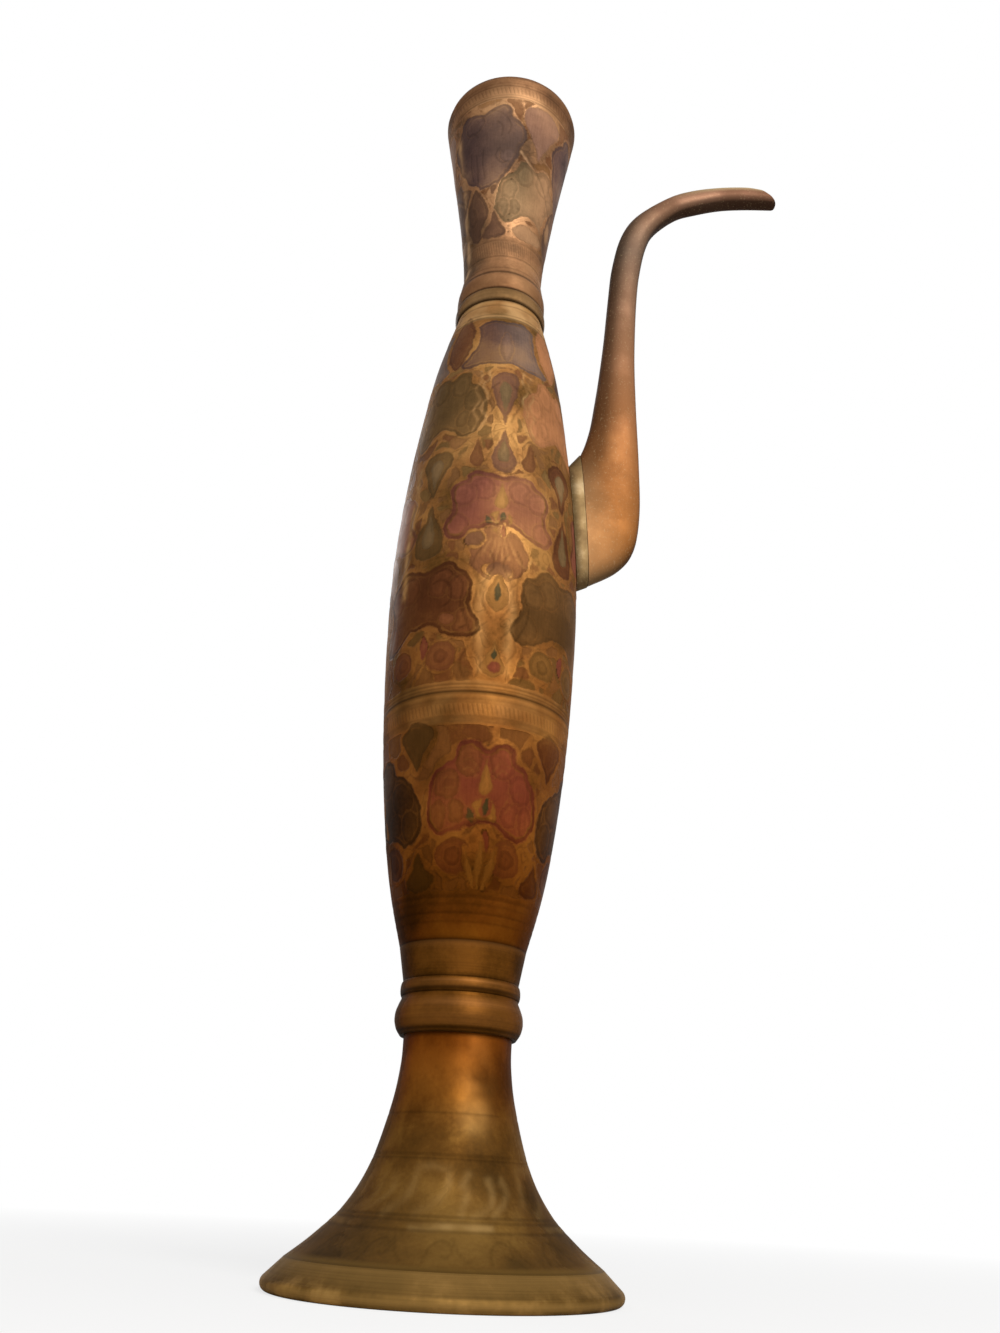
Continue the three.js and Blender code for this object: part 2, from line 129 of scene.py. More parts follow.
def arc(centre, radius, start, end, steps):
    """Points on an arc in the (radius, level) plane, with angles in degrees from straight out."""
    turns = np.radians(np.linspace(start, end, steps + 1))
    return [[centre[0] + radius * math.cos(t), centre[1] + radius * math.sin(t)] for t in turns]


def angles(segments):
    """Angles of the columns of a turned piece, 0 at the front and growing towards the spout."""
    return np.linspace(-np.pi, np.pi, segments, endpoint=False)


def ramp(value, start, span):
    """How far a value is past a start, as a share of a span, from 0 to 1; a negative span falls."""
    return np.clip((value - start) / span, 0, 1)


def shaded_side(angle, start, rise, end=SHADED_SIDE_END):
    """The side under the spout, from 0 to 1, where painted shade darkens a piece; angles are in radians."""
    return ramp(angle, start, rise) * ramp(angle, end, -SHADED_SIDE_FALL)


def fit(mesh, node, material, sharp_degrees):
    """Puts a finished mesh in place of its CAD node, smooth but for its sharp corners."""
    mesh.shade_smooth()
    mesh.set_sharp_from_angle(angle=math.radians(sharp_degrees))
    mesh.materials.append(material)
    piece = bpy.data.objects.new(mesh.name, mesh)
    bpy.context.scene.collection.objects.link(piece)
    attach(piece, "root")
    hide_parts(node)


def turned(node, material, outline, segments, seams=(), inward=None, marks=None, seam_reach=DIRT_REACH):
    """Fits a closed ring of metal turned about the upright axis, from (radius, level) points in mm.

    seams are the levels where dirt gathers, inward is the metal that engraving takes off the first
    rows, in millimetres, and marks are values of named attributes on the same rows.
    """
    outline = np.array(outline, float)
    rows = len(outline)
    angle = angles(segments)
    radius = np.repeat(outline[:, :1], segments, 1)
    level = np.repeat(outline[:, 1:], segments, 1)
    if inward is not None:
        radius[:len(inward)] -= inward
    places = np.stack([AXIS_X / MM + radius * np.sin(angle), -radius * np.cos(angle), level], -1) * MM
    row, column = np.meshgrid(np.arange(rows), np.arange(segments), indexing="ij")
    next_row, next_column = (row + 1) % rows, (column + 1) % segments
    corners = [(row, column), (row, next_column), (next_row, next_column), (next_row, column)]
    faces = np.stack([r * segments + c for r, c in corners], -1).reshape(-1, 4)
    finish = "turned" if inward is None else "engraved"
    mesh = bpy.data.meshes.new(f"{node}_{finish}")
    mesh.from_pydata(places.reshape(-1, 3), [], faces)
    lengths = np.linalg.norm(np.roll(outline, -1, 0) - outline, axis=1)
    along = np.concatenate([[0], np.cumsum(lengths)])
    around = np.stack([column, column + 1, column + 1, column], -1) / segments
    up = np.stack([along[row], along[row], along[row + 1], along[row + 1]], -1)
    wrap = mesh.uv_layers.new(name="wrap")
    wrap.data.foreach_set("uv", np.stack([around, up], -1).ravel())
    steps = np.abs(along[:-1, None] - along[None, :-1])
    weights = np.exp(-(steps / WEAR_REACH) ** 2)
    proud = outline[:, 0] - weights @ outline[:, 0] / weights.sum(1)
    wear_and_sheen = ramp(proud, 0, WEAR_HEIGHT)[:, None] * np.ones(segments)
    dirt_and_shade = ramp(-proud, 0, WEAR_HEIGHT)[:, None] * GROOVE_DIRT * np.ones(segments)
    for seam in seams:
        dirt_and_shade = np.maximum(dirt_and_shade, np.exp(-((level - seam) / seam_reach) ** 2) * DIRT_REACH / seam_reach)
    values = {"dirt_and_shade": dirt_and_shade, "wear_and_sheen": wear_and_sheen}
    for label, value in (marks or {}).items():
        if label in values:
            values[label][:len(value)] = np.maximum(values[label][:len(value)], value)
        else:
            values[label] = value
    for label, value in values.items():
        width = value.shape[2] if value.ndim == 3 else 1
        full = np.zeros((rows, segments, width))
        full[:len(value)] = value.reshape(*value.shape[:2], width)
        kind, field = ("FLOAT_COLOR", "color") if width > 1 else ("FLOAT", "value")
        mesh.attributes.new(label, kind, "POINT").data.foreach_set(field, full.astype(np.float32).ravel())
    fit(mesh, node, material, TURNED_SHARP)


def add(tree, kind, inputs=None, stops=(), **settings):
    """Adds one shader node; inputs maps a socket to a value, a node or an output, stops fill a ramp."""
    node = tree.nodes.new("ShaderNode" + kind)
    for key, value in settings.items():
        setattr(node, key, value)
    for key, value in (inputs or {}).items():
        if isinstance(value, bpy.types.Node):
            value = next(output for output in value.outputs if output.enabled)
        if isinstance(value, bpy.types.NodeSocket):
            tree.links.new(value, node.inputs[key])
        else:
            node.inputs[key].default_value = value
    for _, _ in stops[2:]:
        node.color_ramp.elements.new(0.5)
    for element, (place, shade) in zip(node.color_ramp.elements if stops else (), stops):
        element.position = place
        element.color = linear(shade) if isinstance(shade, str) else (shade, shade, shade, 1)
    return node


def new_material(name):
    """A fresh material with its node tree and its object coordinates."""
    material = bpy.data.materials.new(name)
    material.use_nodes = True
    tree = material.node_tree
    tree.nodes.clear()
    return material, tree, add(tree, "TexCoord").outputs["Object"]


def patina(tree, place, shades, cloud_mm):
    """Cloudy old brass: its colour, its clouds, and the fine grain that the other values follow."""
    clouds = add(tree, "TexNoise", {
        "Vector": place, "Scale": 1 / (cloud_mm * MM), "Detail": 3, "Roughness": 0.5,
    })
    grain = add(tree, "TexNoise", {"Vector": place, "Scale": 1 / (GRAIN_MM * MM), "Detail": 4})
    share = add(tree, "Math", {0: grain, 1: 0.14, 2: -0.07}, operation="MULTIPLY_ADD")
    skin = add(tree, "Math", {0: clouds, 1: share}, operation="ADD")
    metal = add(tree, "ValToRGB", {0: skin}, list(zip((0.34, 0.5, 0.68), shades)))
    return metal, skin, grain


def rubbed_and_highlit(tree, colour, paler_colour, most=0.75):
    """Turns a colour paler where the piece stands proud and hands rub it, and where a painted highlight
    lies.
    """
    wear_and_sheen = add(tree, "Attribute", attribute_name="wear_and_sheen")
    share = add(tree, "Math", {0: wear_and_sheen, 1: most}, operation="MULTIPLY")
    return add(tree, "Mix", {0: share, 6: colour, 7: linear(paler_colour)}, data_type="RGBA")


def old_metal(tree, colour, skin, dirt_and_shade, roughness, relief, relief_mm, covered=None):
    """Ends a material as metal under a skin of oxide, barer where pale and duller where dark, dirty or
    under painted shade.

    covered is where a fill of lacquer hides the metal.
    """
    rough = add(tree, "MapRange", {0: skin, 1: 0.35, 2: 0.68, 3: roughness + 0.1, 4: roughness - 0.07})
    bare = add(tree, "MapRange", {0: skin, 1: 0.35, 2: 0.6, 3: BARE_LEAST, 4: BARE_MOST})
    for cover, most in ((dirt_and_shade, 0.4), (covered, 0.5)):
        if cover is not None:
            bare = add(
                tree, "Math", {0: cover, 1: -most, 2: bare}, operation="MULTIPLY_ADD", use_clamp=True,
            )
    bump = add(tree, "Bump", {"Height": relief, "Distance": relief_mm * MM, "Strength": 1.0})
    shader = add(tree, "BsdfPrincipled", {
        "Base Color": colour, "Roughness": rough, "Metallic": bare, "Normal": bump,
        "Specular Tint": linear(EDGE_TINT), "Specular IOR Level": SKIN_GLOSS,
    })
    add(tree, "OutputMaterial", {"Surface": shader})


def turned_brass(name, shades, roughness, cloud_mm=CLOUD_MM, crest=None):
    """Old turned brass, with rubbed crests, fine tool rings and dirt in its grooves, and the painted
    highlights and painted shade that some pieces' marks carry.
    """
    material, tree, place = new_material(name)
    colour, skin, grain = patina(tree, place, shades, cloud_mm)
    colour = rubbed_and_highlit(tree, colour, crest or shades[2])
    dirt_and_shade = add(tree, "Attribute", attribute_name="dirt_and_shade")
    grime_and_shade = add(tree, "ValToRGB", {0: dirt_and_shade}, [(0.05, 1.0), (0.95, 0.36)])
    rings = add(tree, "VectorMath", {0: place, 1: TOOL_RINGS}, operation="MULTIPLY")
    tool = add(tree, "TexNoise", {"Vector": rings, "Scale": 1.0, "Detail": 2})
    traces = add(tree, "ValToRGB", {0: tool}, [(0.3, 0.86), (0.6, 1.0)])
    for shade in (grime_and_shade, traces):
        colour = add(tree, "Mix", {0: 1.0, 6: colour, 7: shade}, data_type="RGBA", blend_type="MULTIPLY")
    relief = add(tree, "Math", {0: tool, 1: 0.5, 2: grain}, operation="MULTIPLY_ADD")
    old_metal(tree, colour, skin, dirt_and_shade, roughness, relief, 0.04)
    return material


base_bottom, base_top = levels("base_ring")
lip_centre = [widest("base_ring") - BASE_LIP_RADIUS, base_bottom + BASE_LIP_RADIUS]
base_outline = arc(lip_centre, BASE_LIP_RADIUS, -90, 45, 14) + straight([
    [BASE_SHOULDER_RADIUS, base_top - SEAM_CHAMFER],
    [BASE_SHOULDER_RADIUS - SEAM_CHAMFER, base_top],
    [FOOT_INNER_RADIUS, base_top],
    [lip_centre[0] - BASE_FLAT_WIDTH, base_bottom],
], 1.0)
base_angle = angles(PLAIN_SEGMENTS)
base_rows = np.ones((len(base_outline), 1))
base_marks = {
    # A painted highlight on the front, and painted shade on the side towards the spout
    "wear_and_sheen": BASE_PAINTED_HIGHLIGHT * np.exp(-(base_angle / BASE_HIGHLIGHT_ANGLE) ** 2) * base_rows,
    "dirt_and_shade": BASE_SIDE_SHADE * shaded_side(base_angle, 0.3, 0.5, 2.6) * base_rows,
}
# Turned cast brass: a soft satin glow over brown and olive clouds, with faint rings around it
turned_olive_brass = turned_brass(
    "turned_olive_brass", ("#3f2c0e", "#644820", "#a27c44"), 0.5, BASE_CLOUD_MM,
)
turned(
    "base_ring", turned_olive_brass, base_outline, PLAIN_SEGMENTS, [base_top],
    marks=base_marks, seam_reach=WIDE_DIRT_REACH,
)

# Foot
# A cast brass trumpet, turned and then engraved: faint scrolls between turned lines over the base
# ring, pale strokes where a leaf band is rubbed flat, and a plain neck with a painted highlight up
# its right front. A painted highlight also lightens the front of the flare, and painted shade
# darkens its side towards the spout.
FOOT_NECK_RADIUS = 21.0
FOOT_WALL = 2.2
FOOT_WEB = 5.0
STUD_HOLE_RADIUS = 5.3
ROW_STEP = 0.8
ENGRAVED_SEGMENTS = 320
HAND_WAVES = 6
HAND_WAVE_DEPTH = 0.05
CELL_RECESS = 0.12
CELL_SLOPE = 1.2
LINE_DEPTH = 0.22
LINE_REACH = 0.55
CELL_SPAN = 6.0
CELL_LOW = -2.0
UNCUT = -99.0
PETAL_RISE = 0.06
BORDER = 1.8
CONTOUR = 0.3
INLAY_GAP = 1.2
GROUND_GAP = 2.0
FIELD_SIZE = 8
VEIN = 1.3
SHADED_WIDTH = 16
EDGE_REACH = 5.0
TICK_STRENGTH = 0.6
TICK_FADE = 0.6
FIELD_SHADES = (0.85, 1.15)
RING_WANDER = 0.12
# How far a graver strays aside and up, slowly and then quickly
HAND_STRAY = (0.5, 0.4)
SHAKE_STRAY = (0.25, 0.2)
# The edges of its cuts stray by quick shakes, and by slow drifts that make one petal fuller
SHAKE_MM = 2.6
SHAKE_DEPTH = 0.45
DRIFT_MM = 11.0
DRIFT_DEPTH = 0.9
# The real curls are about half a millimetre apart, and are drawn at about 1 mm so that they show
CURL_MM = 10.0
CURL_TURNS = 9
# Streaks around the piece and waves a millimetre up it: fading about 1 mm wide and 11 mm long
STREAKS = (240, 0.09, 1)
STROKE_SLANT = 0.22
DROP = [
    (0, 1), (0.1, 0.84), (0.24, 0.64), (0.4, 0.44), (0.5, 0.26), (0.42, 0.09), (0.2, 0), (0, -0.02),
]
LEAF = [(0, 1), (0.22, 0.86), (0.42, 0.66), (0.5, 0.46), (0.42, 0.24), (0.2, 0.07), (0, 0)]
OVAL = [(0, 0.5), (0.35, 0.36), (0.5, 0), (0.35, -0.36), (0, -0.5)]
FOOT_SHARES = (
    (0, 1), (0.095, 0.739), (0.228, 0.453), (0.413, 0.231), (0.678, 0.067), (0.862, 0.006), (1, 0),
)
LEAF_GROUPS = 5
# A painted highlight up the neck: its turn right of the front in degrees, its width in mm and its strength
NECK_HIGHLIGHT_TURN = 20
NECK_HIGHLIGHT_WIDTH = 6.0
NECK_HIGHLIGHT_MOST = 0.5
# Painted shade on the side towards the spout, and a painted highlight low on the front of the flare
FOOT_SIDE_SHADE = 0.4
FOOT_PAINTED_HIGHLIGHT = 0.4
RUBBED_STROKES = (
    ((-11, 40.5), (-6, 41), (0, 40.3)),
    ((-11, 40), (-12.5, 35), (-16, 30), (-23, 26)),
    ((0, 39), (-0.5, 35), (-4, 30), (-11, 26.3)),
    ((6.5, 38.5), (5, 35.5), (6.5, 33), (4.5, 26.5)),
    ((14, 37), (15.5, 33), (14.5, 29), (9, 26.3)),
    ((19, 37), (21.5, 33), (19, 29), (16, 27)),
)
RUBBED_BAND = ((-12, 0), (0, 0.2), (15, 0))
FOOT_SCROLLS = (
    ((-7, 13), (-5, 17), (-1, 19), (2, 17), (1, 14.5), (-1, 15)), ((2, 19.5), (5, 15), (8, 13)),
)
FOOT_LINES = (21.4, 24.2, 25.6, 43.2, 44.6, 58.2)


def smooth(points, parts):
    """A uniform Catmull-Rom line through the points, with the given number of parts a span."""
    knots = np.array(points, float)
    padded = np.vstack([knots[:1], knots, knots[-1:]])
    line = []
    for span in range(len(knots) - 1):
        before, start, end, after = padded[span:span + 4]
        for t in np.arange(parts) / parts:
            line.append(
                start + 0.5 * t * (end - before)
                + t ** 2 * (before - 2.5 * start + 2 * end - 0.5 * after)
                + 0.5 * t ** 3 * (after - 3 * end + 3 * start - before)
            )
    return np.array(line + [knots[-1]])


def profile(shares, inner, outer, bottom, top, parts):
    """A smooth outline through shares of the height and of the step from one radius to another."""
    return smooth([
        (inner + share * (outer - inner), bottom + rise * (top - bottom)) for rise, share in shares
    ], parts)


def hand_waves(angle, level, seed):
    """Slow uneven waves from -1 to 1 over a turned surface, as left by a hand-fed tool."""
    random = np.random.default_rng(seed)
    total = np.zeros(np.broadcast(angle, level).shape)
    for _ in range(HAND_WAVES):
        around = random.integers(1, 7)
        along = random.uniform(0.03, 0.2)
        total += np.sin(around * angle + along * level + random.uniform(0, 2 * np.pi))
    return total / HAND_WAVES


def distance(x, y, line):
    """Distance from places to the nearest point of a line."""
    nearest = np.full(x.shape, np.inf)
    for start, end in zip(line[:-1], line[1:]):
        run, rise = end - start
        share = np.clip(((x - start[0]) * run + (y - start[1]) * rise) / (run ** 2 + rise ** 2), 0, 1)
        nearest = np.minimum(nearest, np.hypot(x - start[0] - share * run, y - start[1] - share * rise))
    return nearest


def depth_in(x, y, outline):
    """Depth of places inside a closed outline, negative outside it."""
    line = np.vstack([outline, outline[:1]])
    inside = np.zeros(x.shape, bool)
    for start, end in zip(line[:-1], line[1:]):
        between = (start[1] > y) != (end[1] > y)
        crossing = start[0] + (y - start[1]) * (end[0] - start[0]) / ((end[1] - start[1]) or 1)
        inside ^= between & (x < crossing)
    return np.where(inside, 1, -1) * distance(x, y, line)


def mirrored(right_side, parts=4):
    """A closed smooth outline from points down its right side, the first and last on its middle."""
    right_side = np.array(right_side, float)
    whole = np.vstack([right_side, right_side[-2:0:-1] * (-1, 1)])
    line = smooth(np.vstack([whole[-1:], whole, whole[:2]]), parts)
    return line[parts:parts * (len(whole) + 1)]


def sized(outline, width, height, right=0, up=0, lean=0):
    """An outline at another size, leaning to the right by an angle in degrees, at another place."""
    turn = math.radians(lean)
    leaning = np.array([[math.cos(turn), -math.sin(turn)], [math.sin(turn), math.cos(turn)]])
    return outline * (width, height) @ leaning + (right, up)


def at(depth):
    """A depth inside a cell's edge, in millimetres, as the share that the cell attribute holds."""
    return (depth - CELL_LOW) / CELL_SPAN


class Engraving:
    """What a graver leaves on the outer rows of a turned piece; every depth is in millimetres.

    A figure stands at a turn in degrees and a level, and repeats in copies evenly around the piece.
    """

    def __init__(self, outline, segments, seed, copies):
        self.rows, self.segments, self.copies = outline, segments, copies
        outline = np.array(outline, float)
        self.radius, self.level = outline[:, :1], outline[:, 1:]
        self.angle = angles(segments)[None, :]
        self.hand = hand_waves(self.angle * 3, self.level * 2.1, seed)
        self.shake = hand_waves(self.angle * 8, self.level * 5.2, seed + 1)
        shape = (len(outline), segments)
        self.cell, self.inlay, self.kept = (np.full(shape, UNCUT) for _ in range(3))
        self.tint, self.inlay_tint = np.zeros(shape + (4,)), np.zeros(shape + (4,))
        self.lines, self.ticks, self.polished, self.worked = (np.zeros(shape) for _ in range(4))

    def places(self, turn, level, line, copies):
        """For each copy, the rows and columns near its line, and how far right and up of it they are."""
        low, high = line.min(0), line.max(0)
        count = copies or self.copies
        for copy in range(count):
            offset = (self.angle - math.radians(turn + 360 * copy / count) + np.pi) % (2 * np.pi) - np.pi
            x = offset * self.radius + HAND_STRAY[0] * self.hand + SHAKE_STRAY[0] * self.shake
            y = self.level - level + HAND_STRAY[1] * self.hand - SHAKE_STRAY[1] * self.shake
            close = (x > low[0] - EDGE_REACH) & (x < high[0] + EDGE_REACH)
            close &= (y > low[1] - EDGE_REACH) & (y < high[1] + EDGE_REACH)
            yield close, x[close], y[close]

    def cut(self, depths, tints, turn, level, outline, colour, copies, gap, contour):
        """Sinks a figure into a field of depths, parts it from its neighbours by a gap and tints it."""
        shades = colour if isinstance(colour, list) else [colour]
        for copy, (close, x, y) in enumerate(self.places(turn, level, outline, copies)):
            shade = shades[copy % len(shades)]
            depth = depth_in(x, y, outline)
            depths[close] = np.maximum(depth, np.minimum(depths[close], -depth - gap))
            if isinstance(shade, tuple):
                share = np.clip(x / SHADED_WIDTH + 0.5, 0, 1)[:, None]
                shade = np.array(linear(shade[0])) * (1 - share) + np.array(linear(shade[1])) * share
            elif isinstance(shade, str):
                shade = np.array([linear(shade)] * len(x))
            else:
                shade = self.tint[close] * shade
            shade[:, 3] = contour
            tints[close] = np.where((depth > -gap / 2)[:, None], shade, tints[close])

    def fill(self, turn, level, outline, colour, copies=None, gap=BORDER, contour=CONTOUR):
        """Sinks a cell and fills it with colour inside a border of brass.

        A pair of colours shades the cell from left to right, a list goes from copy to copy, and
        contour is how clearly a dark line and a thin brass one run along its edge.
        """
        self.cut(self.cell, self.tint, turn, level, outline, colour, copies, gap, contour)

    def set_in(self, turn, level, outline, colour, copies=None):
        """Sets a petal or drop into a filled cell; a number as its colour lightens the cell's."""
        self.cut(self.inlay, self.inlay_tint, turn, level, outline, colour, copies, INLAY_GAP, CONTOUR)

    def keep(self, turn, level, outline):
        """Keeps a place as bare brass when the ground is filled."""
        for close, x, y in self.places(turn, level, outline, None):
            self.kept[close] = np.maximum(self.kept[close], depth_in(x, y, outline))

    def fill_ground(self, low, high, colours):
        """Sinks and fills what lies between the cells, in small uneven fields parted by veins of brass."""
        random = np.random.default_rng(round(low))
        count = round(2 * np.pi * self.radius.mean() * (high - low) / FIELD_SIZE ** 2)
        turns, heights = random.uniform(-np.pi, np.pi, count), random.uniform(low, high, count)
        shades = np.array([linear(colour) for colour in colours])[random.integers(0, len(colours), count)]
        shades[:, :3] *= random.uniform(*FIELD_SHADES, (count, 1))
        shades[:, 3] = 0
        for row, (radius, level) in enumerate(zip(self.radius[:, 0], self.level[:, 0])):
            if low < level < high:
                aside = (self.angle.T - turns + np.pi) % (2 * np.pi) - np.pi
                away = np.hypot(aside * radius, level - heights)
                first, second = np.sort(away, 1)[:, :2].T
                depth = np.minimum(-self.cell[row] - GROUND_GAP, -self.kept[row])
                depth = np.minimum(depth, min(level - low, high - level))
                depth = np.minimum(depth, (second - first) / 2 - VEIN / 2)
                new = depth > self.cell[row]
                self.tint[row, new] = shades[away.argmin(1)[new]]
                self.cell[row] = np.maximum(self.cell[row], depth)
                self.worked[row] = min(1, level - low, high - level)

    def trace(self, field, turn, level, curves, copies, strength, reach, sides):
        """Marks a field along curves through points, and along their mirror images for both sides."""
        for side in sides:
            for points in curves:
                line = smooth(np.array(points) * (side, 1), 5)
                for close, x, y in self.places(turn, level, line, copies):
                    mark = strength * np.exp(-(distance(x, y, line) / reach) ** 2)
                    field[close] = np.maximum(field[close], mark)

    def stroke(self, turn, level, curves, strength, copies=None, sides=(1,)):
        """Cuts thin curved lines."""
        self.trace(self.lines, turn, level, curves, copies, strength, LINE_REACH, sides)

    def polish(self, turn, level, curves, strength, reach, copies=None, sides=(1,)):
        """Brightens the metal along curved lines, at rubbed places and at painted highlights and
        reflections.
        """
        self.trace(self.polished, turn, level, curves, copies, strength, reach, sides)

    def rings(self, strengths):
        """Cuts lines around the piece, given as how deep the one at each level is."""
        for level, strength in strengths.items():
            wander = self.level - level + RING_WANDER * self.hand
            self.lines = np.maximum(self.lines, strength * np.exp(-(wander / LINE_REACH) ** 2))

    def tick_band(self, bottom, top):
        """Marks a band that is hatched with short strokes."""
        inside = ramp(np.minimum(self.level - bottom, top - self.level), 0, TICK_FADE)
        self.ticks = np.maximum(self.ticks, TICK_STRENGTH * inside * np.ones_like(self.cell))

    def marks(self, lacquer=1.0):
        """The attributes that the engraved brass reads."""
        return {
            "cell": ramp(self.cell, CELL_LOW, CELL_SPAN), "inlay": ramp(self.inlay, CELL_LOW, CELL_SPAN),
            "tint": self.tint, "inlay_tint": self.inlay_tint, "lacquer": np.full_like(self.cell, lacquer),
            "lines": self.lines, "ticks": self.ticks, "worked": self.worked, "polished": self.polished,
        }

    def finish(self, node, material, inside, seams, marks, seam_reach=DIRT_REACH):
        """Fits the engraved piece, with the metal that its cells, lines and hand waves take off."""
        cells = CELL_RECESS * ramp(self.cell, 0, CELL_SLOPE)
        petals = PETAL_RISE * ramp(self.inlay, 0, CELL_SLOPE)
        removed = cells - petals + LINE_DEPTH * self.lines + HAND_WAVE_DEPTH * (1 + self.hand)
        turned(node, material, self.rows + inside, self.segments, seams, removed, marks, seam_reach)


def toned_by_height(tree, place, colour, by_height):
    """Darkens, greys or warms a colour by a ramp over the ewer's height."""
    level = add(tree, "SeparateXYZ", {0: place}).outputs["Z"]
    share = add(tree, "Math", {0: level, 1: cad_bounds[1][2]}, operation="DIVIDE")
    height_tone = add(tree, "ValToRGB", {0: share}, by_height)
    return add(tree, "Mix", {0: 1.0, 6: colour, 7: height_tone}, data_type="RGBA", blend_type="MULTIPLY")


def engraved_brass(name, shades, roughness, strokes_around, by_height, bright):
    """Hand-engraved brass filled with lacquer: bright rims, sunk cells, curls, hatching and worn fill."""
    material, tree, place = new_material(name)
    metal, skin, grain = patina(tree, place, shades, CLOUD_MM)
    cell, inlay, polished, worked, ticks, tint, inlay_tint, lacquer, dirt_and_shade, lines = (
        add(tree, "Attribute", attribute_name=label) for label in (
            "cell", "inlay", "polished", "worked", "ticks",
            "tint", "inlay_tint", "lacquer", "dirt_and_shade", "lines",
        )
    )
    shake, drift = (
        add(tree, "TexNoise", {"Vector": place, "Scale": 1 / (size * MM), "Detail": detail})
        for size, detail in ((SHAKE_MM, 2), (DRIFT_MM, 1))
    )
    shaky, drifting = (
        add(tree, "MapRange", {0: noise, 1: least, 2: 1 - least, 3: -most / CELL_SPAN, 4: most / CELL_SPAN})
        for noise, least, most in ((shake, 0.25, SHAKE_DEPTH), (drift, 0.3, DRIFT_DEPTH))
    )
    inlay = add(tree, "Math", {0: inlay, 1: shaky}, operation="ADD")
    for stray in (shaky, drifting):
        cell = add(tree, "Math", {0: cell, 1: stray}, operation="ADD")
    metal = rubbed_and_highlit(tree, metal, shades[2])
    # The polish mark brightens rubbed places, and also carries painted highlights and reflections
    patchy = add(tree, "MapRange", {0: drift, 1: 0.35, 2: 0.6, 3: 0.35, 4: 1.25})
    polished = add(tree, "Math", {0: polished, 1: patchy}, operation="MULTIPLY", use_clamp=True)
    metal = add(tree, "Mix", {0: polished, 6: metal, 7: linear(bright)}, data_type="RGBA")
    wrap = add(tree, "UVMap", uv_map="wrap")
    across = add(tree, "SeparateXYZ", {0: wrap})

    # Small curls, cut into the brass around the cells and faintly into the fill, follow the level
    # lines of a slow noise, so they turn and close as a graver's do
    curl = add(tree, "TexNoise", {
        "Vector": place, "Scale": 1 / (CURL_MM * MM), "Detail": 1, "Distortion": 0.6,
    })
    curl = add(tree, "Math", {0: curl, 1: CURL_TURNS}, operation="MULTIPLY")
    curl = add(tree, "Math", {0: curl, 1: 1.0}, operation="PINGPONG")
    curl = add(tree, "ValToRGB", {0: curl}, [(0.06, 0.55), (0.4, 0.0)])
    ground = add(tree, "ValToRGB", {0: cell}, [(at(-1.0), 1.0), (at(0.0), 0.4)])
    for share in (ground, worked):
        curl = add(tree, "Math", {0: curl, 1: share}, operation="MULTIPLY")

    # Short slanted strokes in the hatched bands, one for every second step around the piece
    turns = add(tree, "Math", {0: across.outputs["X"], 1: strokes_around}, operation="MULTIPLY")
    slant = add(tree, "Math", {0: across.outputs["Y"], 1: STROKE_SLANT}, operation="MULTIPLY")
    stroke = add(tree, "Math", {0: slant, 1: turns}, operation="ADD")
    stroke = add(tree, "Math", {0: stroke, 1: 1.0}, operation="PINGPONG")
    stroke = add(tree, "ValToRGB", {0: stroke}, [(0.3, 0.75), (0.5, 0.0)])
    stroke = add(tree, "Math", {0: stroke, 1: ticks}, operation="MULTIPLY")

    # Across a cell's edge: bright rim, dark cut, dark outline, thin brass contour, then the fill
    fading = add(tree, "ValToRGB", {0: drift}, [(0.38, 0.25), (0.6, 1.0)])
    contour = add(tree, "Math", {0: tint.outputs["Alpha"], 1: fading}, operation="MULTIPLY")
    fill, edge, outline, brass_line, inside, sunk = (add(tree, "ValToRGB", {0: cell}, stops) for stops in (
        [(at(-0.5), 0.0), (at(0.5), 1.0)],
        [
            (at(-1.8), 0.95), (at(-0.9), 1.06), (at(-0.3), 1.0), (at(0.1), 0.84), (at(0.8), 0.94),
            (at(2.0), 1.0),
        ],
        [(at(0.0), 1.0), (at(0.5), 0.58), (at(1.6), 0.62), (at(2.6), 1.0)],
        [(at(1.4), 0.0), (at(1.8), 0.6), (at(2.2), 0.6), (at(2.7), 0.0)],
        [(at(0.6), 0.0), (at(1.6), 1.0)],
        [(at(-1.0), 0.7), (at(-0.5), 0.9), (at(-0.2), 0.8), (at(0.25), 0.0), (at(1.0), 0.3)],
    ))
    petal, petal_line, nested = (add(tree, "ValToRGB", {0: inlay}, stops) for stops in (
        [(at(-0.4), 0.0), (at(0.4), 1.0)],
        [(at(-1.1), 0.0), (at(-0.7), 1.0), (at(-0.3), 1.0), (at(0.0), 0.0)],
        [(at(-0.4), 1.0), (at(0.2), 0.86), (at(1.0), 0.9), (at(2.0), 1.08), (at(3.4), 0.98)],
    ))
    outline, nested = (
        add(tree, "Mix", {0: share, 6: linear("#ffffff"), 7: shade}, data_type="RGBA")
        for share, shade in ((contour, outline), (inside, nested))
    )
    brass_line, petal, petal_line = (
        add(tree, "Math", {0: value, 1: share}, operation="MULTIPLY")
        for value, share in ((brass_line, contour), (petal, inside), (petal_line, inside))
    )

